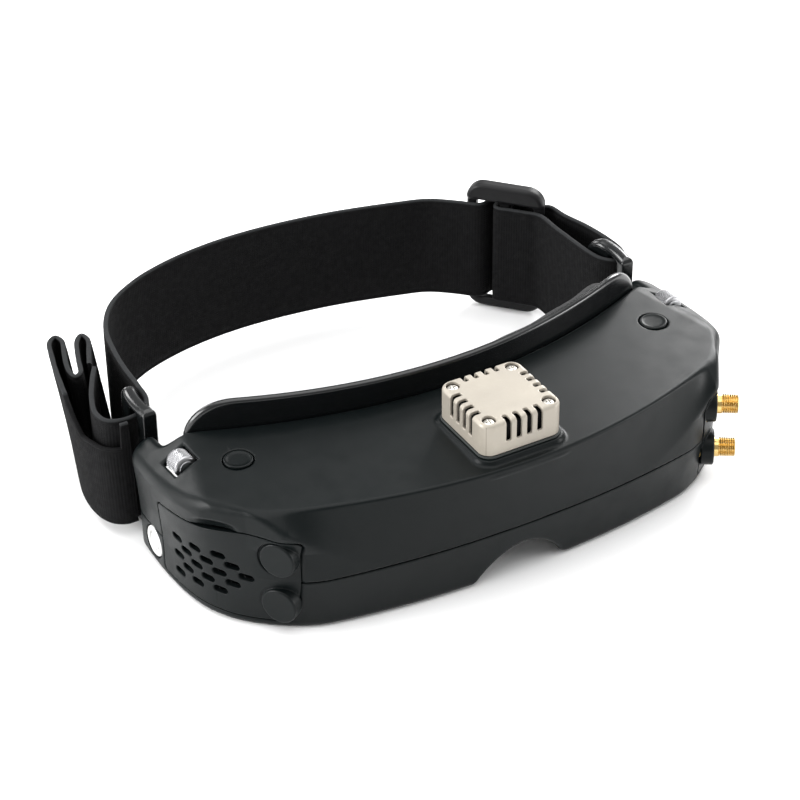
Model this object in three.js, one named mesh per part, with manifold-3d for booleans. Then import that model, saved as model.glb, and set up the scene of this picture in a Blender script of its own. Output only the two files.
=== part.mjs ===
// Head-worn video goggles with an elastic strap, a top exhaust fan and two antenna jacks.
// Millimetres. +X is the wearer's left when worn, -Y is the front, +Z is up, z = 0 is the base.
// The body, strap and optics are built symmetric about x = 0; the side panels differ.
import * as THREE from "three";
import { mergeVertices } from "three/addons/utils/BufferGeometryUtils.js";
import Module from "manifold-3d";

// ---- Driving dimensions ----
const GAP = 0.3; // clearance between neighbouring pieces
const WALL = 2.4; // shell wall
const BODY_TOP = 45.4; // crown of the top surface at the middle of the body
const FRONT_Y = -12; // front face at the middle, at seam height
const FRONT_SWEEP = 5.5; // how far the front falls back at x = FRONT_SWEEP_X
const FRONT_SWEEP_X = 60;
const FRONT_SWEEP_POWER = 2.2;
const CREASE_Y = -14; // top edge of the front face at the middle
const CREASE_SWEEP = 11; // how far that edge falls back at x = FRONT_SWEEP_X
const CREASE_POWER = 1.944;
const LOWER_LEAN = 3; // how far the front tucks in below the seam
const SHOULDER_X = [38, 72.7]; // the front's lean-back begins at the seam here, and highest here
const SHOULDER_Z = [20.3, 36];
const SHOULDER_POWER = 1.8;
const PANEL_FRONT_X = 71.4; // front edge of the side panels
const CORNER_BACK = [86.6, 13.4]; // where the corner facet meets the side
const CORNER_ROUTE = [[72.7, -3.65], [76, -2], [78.5, 0.5]];
const SIDE_ROUTE = [[80, 2.7], [85, 10.2], [88.6, 15.8], [91.3, 20.8], [93, 25.8], [94.2, 31.5], [95, 38.5],
  [95.4, 46]];
const SIDE_BACK = [95, 46]; // where the swept side turns parallel to Y
const REAR_Y = 65; // rear of the end blocks
const REAR_X = 95;
const END_BLOCK_X = 87; // inner edge of the end blocks
const SEAM_Z = 20; // shell seam height at the front
const SEAM_SLOPE = 0.09; // the seam drops toward the rear
const CROWN_DROP = 2; // top surface drop at x = CROWN_X
const CROWN_X = 75;
const TOP_RISE = 0.03; // top surface rise toward the rear
const PLATE_Y = 32; // faceplate front surface at the middle
const PLATE_SWEEP = 20; // faceplate sweep at x = PLATE_SWEEP_X
const PLATE_SWEEP_X = 80;
const PLATE_T = 2.6;
const PLATE_HALF = 82;
const PLATE_TOP = 54.5;
const PLATE_CORNER = 16;
const EYE_X = 32; // half of the middle pupil distance
const EYE_Z = 25;
const FAN_Y = 4.3; // fan centre
const FAN_SIDE = 27.6;
const FAN_TOP = 58.6;
const FAN_COVER_H = 11;
const BUTTON_POS = [74.5, 31.5];
const BUTTON_R = 4.5;
const WHEEL_POS = [87.9, 43, 40.8];
const WHEEL_R = 3.7;
const WHEEL_LENGTH = 7;
const CORNER_NORMAL = THREE.MathUtils.degToRad(33.5); // jack axis, forward of X
const SIDE_ANGLE = Math.atan2(SIDE_BACK[0] - CORNER_BACK[0], SIDE_BACK[1] - CORNER_BACK[1]);
const JACK_POS = [78.6, 0.6];
const JACK_Z = [29.3, 12.6];
const COVER_BOSS_Z = [28.1, 11.2];
const BOSS_R = 5.8; // round blank or jack boss on the corner facet
const STRAP_Z = [4.5, 42.6]; // 38.1 mm webbing
const STRAP_T = 1.6;

// ---- Materials ----
const paint = (color, roughness, metalness = 0) => ({ color, roughness, metalness });
const CHARCOAL = paint("#2a3033", 0.55);
const GLOSS_BLACK = paint("#0d0e10", 0.18);
const FOAM = paint("#161617", 0.95);
const CHAMPAGNE = paint("#a79c8c", 0.42, 0.35);
const RUBBER = paint("#151617", 0.8);
const BLACK_PLASTIC = paint("#1a1b1d", 0.45);
const STEEL = paint("#b9bbbd", 0.3, 1);
const GOLD = paint("#d8a94b", 0.25, 1);
const WHITE_INSULATOR = paint("#f0efe8", 0.5);
const BOARD = paint("#17402a", 0.5);
const GLASS = paint("#b9c8cf", 0.05);
const SCREEN = paint("#0a0c12", 0.1);
const WHITE_PLASTIC = paint("#e8e8e6", 0.4);
const SILVER = paint("#c9cbcc", 0.35, 0.6);
const WEBBING = paint("#101112", 0.9);

// ---- Solid helpers ----
const wasm = await Module();
wasm.setup();
const goggles = new THREE.Group();

function solid(geometry, matrix = new THREE.Matrix4()) {
  const bare = geometry.clone().applyMatrix4(matrix);
  bare.deleteAttribute("normal");
  bare.deleteAttribute("uv");
  const merged = mergeVertices(bare, 1e-4);
  const vertProperties = new Float32Array(merged.attributes.position.array);
  const triVerts = new Uint32Array(merged.index.array);
  return new wasm.Manifold(new wasm.Mesh({ numProp: 3, vertProperties, triVerts }));
}

function geometryOf(manifold) {
  const mesh = manifold.getMesh();
  const geometry = new THREE.BufferGeometry();
  geometry.setAttribute("position", new THREE.BufferAttribute(mesh.vertProperties, 3));
  geometry.setIndex(new THREE.BufferAttribute(mesh.triVerts, 1));
  geometry.computeVertexNormals();
  return geometry;
}

function add(name, shape, material) {
  const geometry = shape instanceof THREE.BufferGeometry ? shape : geometryOf(shape);
  const mesh = new THREE.Mesh(geometry, new THREE.MeshStandardMaterial(material));
  mesh.name = name;
  goggles.add(mesh);
  return mesh;
}

const at = (x, y, z) => new THREE.Matrix4().makeTranslation(x, y, z);
const arch = (t) => Math.max(0, Math.cos((Math.PI * t) / 2)) ** 0.8; // 1 at t = 0, 0 at t = 1 and -1
const mirrorX = (manifold) => manifold.mirror([1, 0, 0]);

function box(low, high) {
  const size = low.map((value, axis) => high[axis] - value);
  const centre = low.map((value, axis) => (high[axis] + value) / 2);
  return solid(new THREE.BoxGeometry(...size), at(...centre));
}

// A cylinder from point a to point b.
function rod(a, b, radius, sides = 24, radiusB = radius) {
  const start = new THREE.Vector3(...a);
  const along = new THREE.Vector3(...b).sub(start);
  const length = along.length();
  const turn = new THREE.Quaternion().setFromUnitVectors(new THREE.Vector3(0, 1, 0), along.normalize());
  const centre = start.clone().addScaledVector(along, length / 2);
  const matrix = new THREE.Matrix4().compose(centre, turn, new THREE.Vector3(1, 1, 1));
  return solid(new THREE.CylinderGeometry(radiusB, radius, length, sides), matrix);
}

// A prism over a plan outline of [x, y] points.
function prism(outline, zLow, zHigh) {
  const shape = new THREE.Shape(outline.map(([x, y]) => new THREE.Vector2(x, y)));
  const geometry = new THREE.ExtrudeGeometry(shape, { depth: zHigh - zLow, bevelEnabled: false });
  return solid(geometry, at(0, 0, zLow));
}

// An outline drawn in X and Z, carried along +Y from yLow to yHigh.
function prismY(outline, yLow, yHigh) {
  const shape = new THREE.Shape(outline.map(([x, z]) => new THREE.Vector2(x, -z)));
  const geometry = new THREE.ExtrudeGeometry(shape, { depth: yHigh - yLow, bevelEnabled: false });
  const turned = new THREE.Matrix4().makeRotationX(-Math.PI / 2);
  return solid(geometry, at(0, yLow, 0).multiply(turned));
}

// A closed solid through rings of equal length, each a list of [x, y, z].
function loft(rings) {
  const count = rings[0].length;
  const flat = rings[0].map(([x, y]) => new THREE.Vector2(x, y));
  const caps = THREE.ShapeUtils.triangulateShape(flat, []);
  const [p, q, r] = caps[0].map((corner) => flat[corner]);
  if ((q.x - p.x) * (r.y - p.y) < (q.y - p.y) * (r.x - p.x)) caps.forEach((face) => face.reverse());
  const index = [];
  for (const [a, b, c] of caps) index.push(a, c, b);
  const top = (rings.length - 1) * count;
  for (const [a, b, c] of caps) index.push(top + a, top + b, top + c);
  for (let ring = 0; ring + 1 < rings.length; ring++) {
    for (let i = 0; i < count; i++) {
      const a = ring * count + i;
      const b = ring * count + ((i + 1) % count);
      index.push(a, b, b + count, a, b + count, a + count);
    }
  }
  const geometry = new THREE.BufferGeometry();
  const position = new Float32Array(rings.flat(2));
  geometry.setAttribute("position", new THREE.BufferAttribute(position, 3));
  geometry.setIndex(index);
  return solid(geometry);
}

// The half-space z < zAt(0, 0) + slopes, as a large slab.
function below(z0, slopeX, slopeY) {
  const slab = box([-300, -300, -400], [300, 300, 0]);
  const up = new THREE.Vector3(-slopeX, -slopeY, 1).normalize();
  const turn = new THREE.Quaternion().setFromUnitVectors(new THREE.Vector3(0, 0, 1), up);
  const matrix = new THREE.Matrix4().makeRotationFromQuaternion(turn).setPosition(0, 0, z0);
  const columns = matrix.elements;
  return slab.transform([...columns]);
}

// ---- Body outline in plan ----
const frontY = (x) => FRONT_Y + FRONT_SWEEP * (Math.abs(x) / FRONT_SWEEP_X) ** FRONT_SWEEP_POWER;
const creaseY = (x) => CREASE_Y + CREASE_SWEEP * (Math.abs(x) / FRONT_SWEEP_X) ** CREASE_POWER;
const creaseZ = (x) => BODY_TOP - CROWN_DROP * (x / CROWN_X) ** 2;
const plateY = (x) => PLATE_Y + PLATE_SWEEP * (x / PLATE_SWEEP_X) ** 2;

function corner(before, at2, after, radius, steps = 3) {
  const a = new THREE.Vector2(...before).sub(new THREE.Vector2(...at2)).normalize();
  const b = new THREE.Vector2(...after).sub(new THREE.Vector2(...at2)).normalize();
  const points = [];
  for (let i = 0; i <= steps; i++) {
    const t = i / steps;
    const wa = radius * (1 - t) ** 2;
    const wb = radius * t ** 2;
    points.push([at2[0] + a.x * wa + b.x * wb, at2[1] + a.y * wa + b.y * wb]);
  }
  return points;
}

// Height at which the front face starts to lean back.
function shoulderZ(x) {
  const share = (Math.abs(x) - SHOULDER_X[0]) / (SHOULDER_X[1] - SHOULDER_X[0]);
  const rise = Math.min(1.08, Math.max(0, share)) ** SHOULDER_POWER;
  return SHOULDER_Z[0] + (SHOULDER_Z[1] - SHOULDER_Z[0]) * rise;
}

// Counter-clockwise from far in front of the middle; inset moves every wall inward. The cavity stops
// short of the solid end blocks and runs out through the rear, which the faceplate closes.
const OUTER_REAR = { y: REAR_Y, blockX: END_BLOCK_X, radius: 4.5, open: 0 };
const CAVITY_REAR = { y: 56, blockX: 80, radius: 5, open: 6 };

function sideOutline(inset, rear) {
  const right = [[0, -40], ...CORNER_ROUTE, ...SIDE_ROUTE];
  right.push(...corner([REAR_X, 50], [REAR_X, rear.y], [rear.blockX, rear.y], rear.radius, 3));
  right.push([rear.blockX, rear.y], [rear.blockX, plateY(rear.blockX) - 0.45]);
  const rearXs = [83, 76, 66, 54, 41, 28, 14, 0].filter((x) => x < rear.blockX - 3);
  for (const x of rearXs) right.push([x, plateY(x) - 0.45]);
  const left = right.slice(1, -1).map(([x, y]) => [-x, y]).reverse();
  const ring = [...right, ...left];
  const moved = ring.map((point, i) => {
    const before = ring[(i + ring.length - 1) % ring.length];
    const after = ring[(i + 1) % ring.length];
    const tangent = new THREE.Vector2(after[0] - before[0], after[1] - before[1]).normalize();
    return [point[0] - tangent.y * inset, point[1] + tangent.x * inset];
  });
  return moved.map(([x, y]) => [x, y > 25 && Math.abs(x) < 76 ? y + rear.open : y]);
}

// Front face: tucked in below the seam, upright to the shoulder line, then leaning back to the crease.
const FRONT_XS = [-100, -84, -78, -72.7, -69, -65, -60, -54, -46, -38, -26, -13];
const frontXs = [...FRONT_XS, 0, ...FRONT_XS.map((x) => -x).reverse()];
const FRONT_TOP = 49;
function frontRing(yAt, zAt) {
  const ring = frontXs.map((x) => [x, yAt(x), zAt(x)]);
  return [...ring, [100, 120, zAt(100)], [-100, 120, zAt(-100)]];
}

function frontLoft(levels) {
  const rings = levels.map(([z, inset]) =>
    frontRing((x) => frontY(x) + inset + LOWER_LEAN * Math.max(0, 1 - z / SEAM_Z), () => z));
  const inset = levels[levels.length - 1][1];
  const slope = (x) => (creaseY(x) - frontY(x)) / (creaseZ(x) - shoulderZ(x));
  const grow = (x) => Math.hypot(1, slope(x));
  rings.push(frontRing((x) => frontY(x) + inset, (x) => shoulderZ(x) - inset * slope(x) / (grow(x) + 1)));
  rings.push(frontRing((x) => frontY(x) + slope(x) * (FRONT_TOP - shoulderZ(x)) + inset * grow(x),
    () => FRONT_TOP));
  return loft(rings);
}

function bodyLoft(levels, rear) {
  const last = [FRONT_TOP, levels[levels.length - 1][1]];
  const sides = loft([...levels, last].map(
    ([z, inset]) => sideOutline(inset, rear).map(([x, y]) => [x, y, z])));
  return sides.intersect(frontLoft(levels));
}

// The crowned top surface with a falling facet over each rear end.
function underTop(drop) {
  const outline = [[120, -30], [120, BODY_TOP - CROWN_DROP * (120 / CROWN_X) ** 2]];
  for (let x = 100; x >= -100; x -= 20) outline.push([x, BODY_TOP - CROWN_DROP * (x / CROWN_X) ** 2]);
  outline.push([-120, BODY_TOP - CROWN_DROP * (120 / CROWN_X) ** 2], [-120, -30]);
  const crown = prismY(outline, -60, 120);
  const tilt = new THREE.Matrix4().makeRotationX(Math.atan(TOP_RISE)).setPosition(0, 0, -drop);
  const facetZ = 46 + 0.556 * 80 + 0.102 * 50 - drop * 1.1;
  const facet = below(facetZ, -0.556, -0.102);
  return crown.transform([...tilt.elements]).intersect(facet).intersect(mirrorX(facet));
}

const belowSeam = (shift) => below(SEAM_Z - SEAM_SLOPE * 10 + shift, 0, -SEAM_SLOPE);

// ---- Shells ----
const outerLevels = [[0, 2.2], [0.9, 0.8], [3, 0], [SEAM_Z, 0]];
const cavityLevels = [[WALL, 3.6], [4.5, WALL], [SEAM_Z, WALL]];
const PANEL_T = 1.9;
// The nose arch, and the block that gives it a wall inside the cavity.
const NOSE_HALF = 16;
const NOSE_HIGH = 12;
function noseArch(grow) {
  const outline = [[-NOSE_HALF - grow, -5]];
  for (let i = 0; i <= 12; i++) {
    const t = -1 + i / 6;
    outline.push([t * (NOSE_HALF + grow), (NOSE_HIGH + grow) * arch(t)]);
  }
  outline.push([NOSE_HALF + grow, -5]);
  return prismY(outline.reverse(), -30, 60);
}

const outerBody = bodyLoft(outerLevels, OUTER_REAR).intersect(underTop(0));
const innerBody = bodyLoft(cavityLevels, CAVITY_REAR).intersect(underTop(WALL));

// Region of a side panel: the corner facet and most of the swept side.
function panelRegion(grow) {
  const front = -PANEL_FRONT_X + grow;
  const plan = [[front, -40], [front, 6], [-80, 18], [-80, 44 + grow], [-120, 44 + grow], [-120, -40]];
  const top = below(29 + 0.17 * 44 + grow, 0, -0.17);
  return prism(plan, 3.4 - grow, 60).intersect(top);
}

const shellSkin = outerBody.subtract(innerBody.subtract(noseArch(WALL))).subtract(noseArch(0));
const panelSkin = outerBody.subtract(bodyLoft([[-2, PANEL_T], [SEAM_Z, PANEL_T]], CAVITY_REAR));

function onCorner(side, depth, z) {
  const x = JACK_POS[0] + depth * Math.cos(CORNER_NORMAL);
  return [side * x, JACK_POS[1] - depth * Math.sin(CORNER_NORMAL), z];
}

function onSide(side, along, depth, z) {
  const x = CORNER_BACK[0] + along * Math.sin(SIDE_ANGLE) + depth * Math.cos(SIDE_ANGLE);
  return [side * x, CORNER_BACK[1] + along * Math.cos(SIDE_ANGLE) - depth * Math.sin(SIDE_ANGLE), z];
}

const WHEEL_TILT = Math.atan(0.102); // the end facet falls towards the rear
function wheelAxis(side, along) {
  return [side * WHEEL_POS[0], WHEEL_POS[1] + along * Math.cos(WHEEL_TILT),
    WHEEL_POS[2] - along * Math.sin(WHEEL_TILT)];
}

const wheelPocket = (side) => rod(wheelAxis(side, -4.7), wheelAxis(side, 4.7), WHEEL_R + 0.6, 20);
const buttonHole = (side) => rod([side * BUTTON_POS[0], BUTTON_POS[1], 38],
  [side * BUTTON_POS[0], BUTTON_POS[1], 52], BUTTON_R + 0.4, 28);
const POWER_POS = [95, 51.5, 8.6];
const powerHole = rod([-100, POWER_POS[1], POWER_POS[2]], [-88, POWER_POS[1], POWER_POS[2]], 5.45, 28);

const IPD_TRAVEL = 3.25;
const KNOB_HALF = [4.5, 2.6];
function ipdSlot(side) {
  const x = side * EYE_X;
  const half = KNOB_HALF[0] + IPD_TRAVEL + 0.6;
  return box([x - half, 17 - KNOB_HALF[1] - 0.5, -2], [x + half, 17 + KNOB_HALF[1] + 0.5, 6]);
}

const SCREW_SPOTS = [[-66, 8], [66, 8], [-50, 34], [50, 34]];
const shellScrew = (x, y, r, zLow, zHigh) => rod([x, y, zLow], [x, y, zHigh], r, 12);

function portHole(y, z, halfY, halfZ) {
  return box([82, y - halfY, z - halfZ], [100, y + halfY, z + halfZ]);
}

const jackClearance = (z) => rod(onCorner(1, -12, z), onCorner(1, -1.9, z), 4.6, 16);

const fanOpening = rod([0, FAN_Y, 38], [0, FAN_Y, 60], 12.3, 24);
const plinthHalf = FAN_SIDE / 2 + 1.4;
const plinthOutline = [
  ...corner([0, FAN_Y - plinthHalf], [plinthHalf, FAN_Y - plinthHalf], [plinthHalf, FAN_Y], 4.5),
  ...corner([plinthHalf, FAN_Y], [plinthHalf, FAN_Y + plinthHalf], [0, FAN_Y + plinthHalf], 4.5),
  ...corner([0, FAN_Y + plinthHalf], [-plinthHalf, FAN_Y + plinthHalf], [-plinthHalf, FAN_Y], 4.5),
  ...corner([-plinthHalf, FAN_Y], [-plinthHalf, FAN_Y - plinthHalf], [0, FAN_Y - plinthHalf], 4.5),
];
const PLINTH_TOP = FAN_TOP - FAN_COVER_H - 0.9;

const topPlinth = prism(plinthOutline, 43.5, PLINTH_TOP);
let upperShell = shellSkin.subtract(belowSeam(GAP / 2)).add(topPlinth).subtract(fanOpening);
let lowerShell = shellSkin.intersect(belowSeam(-GAP / 2));
const window = panelRegion(GAP);
for (const side of [-1, 1]) {
  const cut = side < 0 ? window : mirrorX(window);
  upperShell = upperShell.subtract(cut).subtract(buttonHole(side)).subtract(wheelPocket(side));
  lowerShell = lowerShell.subtract(cut).subtract(ipdSlot(side));
}
for (const z of JACK_Z) {
  upperShell = upperShell.subtract(jackClearance(z));
  lowerShell = lowerShell.subtract(jackClearance(z));
}
lowerShell = lowerShell.subtract(powerHole);
for (const [x, y] of SCREW_SPOTS) {
  lowerShell = lowerShell.subtract(shellScrew(x, y, 2.6, -1, 1.5)).subtract(shellScrew(x, y, 1.4, -1, 6));
}
const PORT_Y = 49.8;
const DC_Z = 8.4;
const AUDIO_Z = 18.6;
const VIDEO_Z = 28.6;
upperShell = upperShell.subtract(portHole(PORT_Y, VIDEO_Z, 2.3, 5.9));
upperShell = upperShell.subtract(rod([82, PORT_Y, AUDIO_Z], [100, PORT_Y, AUDIO_Z], 3.2, 20));
lowerShell = lowerShell.subtract(rod([82, PORT_Y, DC_Z], [100, PORT_Y, DC_Z], 4.2, 20));
add("upper_shell", upperShell, CHARCOAL);
add("lower_shell", lowerShell, CHARCOAL);

// ---- Left module cover with vents and two blank bosses ----
// A flat round boss, sunk at its rear and proud at its front, for each antenna place.
function withBosses(panel, side, levels) {
  let result = panel;
  for (const z of levels) {
    const moat = rod(onCorner(side, -0.6, z), onCorner(side, 6, z), BOSS_R + 0.4, 28);
    const boss = rod(onCorner(side, -3.2, z), onCorner(side, -0.3, z), BOSS_R, 28);
    result = result.subtract(moat).add(boss);
  }
  return result;
}

const VENT_ROWS = [3, 2, 3, 2, 3, 2, 1];
function moduleCover() {
  let cover = panelSkin.intersect(panelRegion(0));
  VENT_ROWS.forEach((count, column) => {
    for (let k = 0; k < count; k++) {
      const row = count === 1 ? 1 : k + (count === 2 ? 0.5 : 0);
      const along = 22 - column * 4.4;
      const z = 21.6 + 0.14 * (22 - along) - 6.6 * row;
      const hole = rod(onSide(-1, along + 0.7, -8, z), onSide(-1, along + 0.7, 4, z), 1.1, 8);
      const wide = rod(onSide(-1, along - 1.2, -8, z), onSide(-1, along - 1.2, 4, z), 1.1, 8);
      cover = cover.subtract(hole.add(wide).hull());
    }
  });
  return withBosses(cover, -1, COVER_BOSS_Z);
}
add("module_cover", moduleCover(), CHARCOAL);

// ---- Right receiver panel and its two antenna jacks ----
function receiverPanel() {
  let panel = withBosses(mirrorX(panelSkin.intersect(panelRegion(0))), 1, JACK_Z);
  for (const z of JACK_Z) {
    panel = panel.subtract(rod(onCorner(1, -8, z), onCorner(1, 6, z), 3.5, 20)).subtract(jackClearance(z));
  }
  return panel;
}
add("receiver_panel", receiverPanel(), CHARCOAL);

["upper", "lower"].forEach((level, i) => {
  const z = JACK_Z[i];
  const barrel = rod(onCorner(1, -9, z), onCorner(1, 6.6, z), 3.17, 24);
  const shoulder = rod(onCorner(1, -9, z), onCorner(1, -4.4, z), 3.9, 6);
  const bore = rod(onCorner(1, -1, z), onCorner(1, 8, z), 2.45, 20);
  add(`${level}_antenna_jack`, barrel.add(shoulder).subtract(bore), GOLD);
  const nut = rod(onCorner(1, -4.1, z), onCorner(1, -2.2, z), 4.3, 6);
  add(`${level}_jack_nut`, nut.subtract(rod(onCorner(1, -5, z), onCorner(1, -1, z), 3.47, 20)), GOLD);
  const core = rod(onCorner(1, -0.7, z), onCorner(1, 4.6, z), 2.15, 16);
  add(`${level}_jack_insulator`, core, WHITE_INSULATOR);
});
const boardNormal = new THREE.Vector3(Math.cos(CORNER_NORMAL), -Math.sin(CORNER_NORMAL), 0);
const receiverBoard = solid(new THREE.BoxGeometry(1.6, 10, 30),
  new THREE.Matrix4().makeRotationZ(-CORNER_NORMAL).setPosition(
    JACK_POS[0] - 10.2 * boardNormal.x, JACK_POS[1] - 10.2 * boardNormal.y, 21.7));
add("receiver_board", receiverBoard, BOARD);

// ---- Faceplate, foam and strap arms ----
function plateBand(half, front, back, steps, zLow, zHigh) {
  const near = [];
  const far = [];
  for (let i = 0; i <= steps; i++) {
    const x = -half + (2 * half * i) / steps;
    near.push([x, plateY(x) + front]);
    far.push([x, plateY(x) + back]);
  }
  return prism([...near, ...far.reverse()], zLow, zHigh);
}

// Rounded face outline in X and Z with a nose arch.
function faceOutline(half, low, high, radius, noseHalf, noseHigh) {
  const right = [...corner([half - 30, low], [half, low], [half, low + 30], radius, 5)];
  right.push(...corner([half, high - 30], [half, high], [half - 30, high], radius, 5));
  const left = right.map(([x, z]) => [-x, z]).reverse();
  const nose = [];
  for (let i = 0; i <= 12; i++) {
    const x = -noseHalf + (2 * noseHalf * i) / 12;
    nose.push([x, low + (noseHigh - low) * arch(x / noseHalf)]);
  }
  return [...nose, ...right, ...left];
}

function faceplate() {
  const outline = faceOutline(PLATE_HALF, 1, PLATE_TOP, PLATE_CORNER, 20, 17);
  let plate = plateBand(92, 0, PLATE_T, 24, -2, 60).intersect(prismY(outline, 20, 80));
  for (const side of [-1, 1]) {
    plate = plate.subtract(rod([side * EYE_X, 20, EYE_Z], [side * EYE_X, 60, EYE_Z], 19.5, 24));
  }
  return plate;
}
add("faceplate", faceplate(), GLOSS_BLACK);

function faceFoam() {
  const outer = faceOutline(PLATE_HALF - 6, 5, PLATE_TOP - 5, PLATE_CORNER - 2, 17, 21);
  const inner = faceOutline(PLATE_HALF - 19, 14.5, PLATE_TOP - 14, 8, 26, 30);
  const band = plateBand(90, PLATE_T + GAP, PLATE_T + GAP + 7, 20, -2, 60);
  return band.intersect(prismY(outer, 20, 90)).subtract(prismY(inner, 20, 90));
}
add("face_foam", faceFoam(), FOAM);

const ARM_T = 3.2;
const ARM_PATH = [[87.6, 65.4], [88.2, 71], [88.2, 77], [87.2, 82], [85.8, 86]];
const ARM_SLOT_Y = [69.6, 75];
const ARM_TOP = 46;

// A ribbon of even thickness along a plan path.
function ribbonOutline(path, thickness) {
  const sides = [[], []];
  path.forEach((point, i) => {
    const before = path[Math.max(0, i - 1)];
    const after = path[Math.min(path.length - 1, i + 1)];
    const tangent = new THREE.Vector2(after[0] - before[0], after[1] - before[1]).normalize();
    sides[0].push([point[0] + (tangent.y * thickness) / 2, point[1] - (tangent.x * thickness) / 2]);
    sides[1].push([point[0] - (tangent.y * thickness) / 2, point[1] + (tangent.x * thickness) / 2]);
  });
  return [...sides[0], ...sides[1].reverse()];
}

function strapArm(side) {
  let arm = prism(ribbonOutline(ARM_PATH, ARM_T), 0, ARM_TOP);
  arm = arm.subtract(box([80, ARM_SLOT_Y[0], STRAP_Z[0] - 0.6], [100, ARM_SLOT_Y[1], STRAP_Z[1] + 0.6]));
  return side < 0 ? mirrorX(arm) : arm;
}
add("left_strap_arm", strapArm(-1), GLOSS_BLACK);
add("right_strap_arm", strapArm(1), GLOSS_BLACK);

// ---- Exhaust fan on top ----
function roundedSquare(half, radius) {
  return [
    ...corner([0, -half], [half, -half], [half, 0], radius),
    ...corner([half, 0], [half, half], [0, half], radius),
    ...corner([0, half], [-half, half], [-half, 0], radius),
    ...corner([-half, 0], [-half, -half], [0, -half], radius),
  ].map(([x, y]) => [x, y + FAN_Y]);
}
const COVER_LOW = FAN_TOP - FAN_COVER_H;
const FAN_SCREW_AT = 10.4;
const quarterTurns = [[1, 1], [-1, 1], [-1, -1], [1, -1]];

function fanCover() {
  const half = FAN_SIDE / 2;
  const body = prism(roundedSquare(half, 4), COVER_LOW, FAN_TOP - 1);
  const lid = loft([[0, FAN_TOP - 1], [1, FAN_TOP]].map(([inset, z]) =>
    roundedSquare(half - inset, 4 - inset).map(([x, y]) => [x, y, z])));
  let cover = body.add(lid).subtract(prism(roundedSquare(half - 1.6, 2.6), COVER_LOW - 1, FAN_TOP - 1.6));
  for (let k = 0; k < 4; k++) {
    const across = -5.4 + 3.6 * k;
    for (const [low, high] of [[half - 3.4, half + 1], [-half - 1, -half + 3.4]]) {
      cover = cover.subtract(
        box([across - 0.8, FAN_Y + low, COVER_LOW + 3], [across + 0.8, FAN_Y + high, 60]));
      cover = cover.subtract(
        box([low, FAN_Y + across - 0.8, COVER_LOW + 3], [high, FAN_Y + across + 0.8, 60]));
    }
  }
  for (const [sx, sy] of quarterTurns) {
    const [x, y] = [sx * FAN_SCREW_AT, FAN_Y + sy * FAN_SCREW_AT];
    const post = rod([x, y, COVER_LOW], [x, y, FAN_TOP - 0.5], 2.5, 12);
    cover = cover.add(post).subtract(rod([x, y, COVER_LOW - 1], [x, y, 60], 1.3, 8));
    cover = cover.subtract(rod([x, y, FAN_TOP - 1.7], [x, y, 60], 2.1, 12));
  }
  return cover;
}
add("fan_cover", fanCover(), CHAMPAGNE);

function fanGasket() {
  const ring = prism(roundedSquare(FAN_SIDE / 2 + 0.3, 4.2), PLINTH_TOP + 0.1, COVER_LOW - 0.15);
  return ring.subtract(rod([0, FAN_Y, 40], [0, FAN_Y, 60], 12.6, 24));
}
add("fan_gasket", fanGasket(), RUBBER);

const FAN_LOW = COVER_LOW + 0.3;
const FAN_HIGH = COVER_LOW + 8.6;
function fanFrame() {
  let frame = prism(roundedSquare(11.8, 2), FAN_LOW, FAN_HIGH);
  frame = frame.subtract(rod([0, FAN_Y, 40], [0, FAN_Y, 70], 10.9, 24));
  for (const [sx, sy] of quarterTurns) {
    frame = frame.subtract(rod([sx * FAN_SCREW_AT, FAN_Y + sy * FAN_SCREW_AT, 40],
      [sx * FAN_SCREW_AT, FAN_Y + sy * FAN_SCREW_AT, 70], 2.9, 12));
  }
  const motor = rod([0, FAN_Y, FAN_LOW], [0, FAN_Y, FAN_LOW + 1.2], 4, 24);
  const spider = box([-11.2, FAN_Y - 0.7, FAN_LOW], [11.2, FAN_Y + 0.7, FAN_LOW + 1.2]);
  const cross = box([-0.7, FAN_Y - 11.2, FAN_LOW], [0.7, FAN_Y + 11.2, FAN_LOW + 1.2]);
  const pin = rod([0, FAN_Y, FAN_LOW], [0, FAN_Y, FAN_LOW + 4.2], 0.8, 12);
  return frame.add(motor).add(spider).add(cross).add(pin);
}
add("fan_frame", fanFrame(), BLACK_PLASTIC);

function fanRotor() {
  const [low, high] = [FAN_LOW + 1.6, FAN_HIGH - 0.6];
  let rotor = rod([0, FAN_Y, low], [0, FAN_Y, high], 4.4, 20);
  for (let i = 0; i < 7; i++) {
    const turn = new THREE.Matrix4().makeRotationZ((2 * Math.PI * i) / 7).setPosition(0, FAN_Y, 0);
    const pitch = new THREE.Matrix4().makeRotationX(0.7).setPosition(6.95, 0, (low + high) / 2);
    rotor = rotor.add(solid(new THREE.BoxGeometry(6.3, 0.7, 6), turn.multiply(pitch)));
  }
  return rotor.subtract(rod([0, FAN_Y, low - 1], [0, FAN_Y, FAN_LOW + 4.6], 1.1, 12));
}
add("fan_rotor", fanRotor(), BLACK_PLASTIC);

quarterTurns.forEach(([sx, sy], i) => {
  const [x, y] = [sx * FAN_SCREW_AT, FAN_Y + sy * FAN_SCREW_AT];
  const head = rod([x, y, FAN_TOP - 1.4], [x, y, FAN_TOP - 0.5], 1.75, 12);
  const shank = rod([x, y, COVER_LOW + 0.2], [x, y, FAN_TOP - 1], 0.9, 8);
  const slots = box([x - 1.1, y - 0.2, FAN_TOP - 0.9], [x + 1.1, y + 0.2, FAN_TOP]);
  const across = box([x - 0.2, y - 1.1, FAN_TOP - 0.9], [x + 0.2, y + 1.1, FAN_TOP]);
  add(`fan_screw_${i + 1}`, head.add(shank).subtract(slots).subtract(across), STEEL);
});

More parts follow.
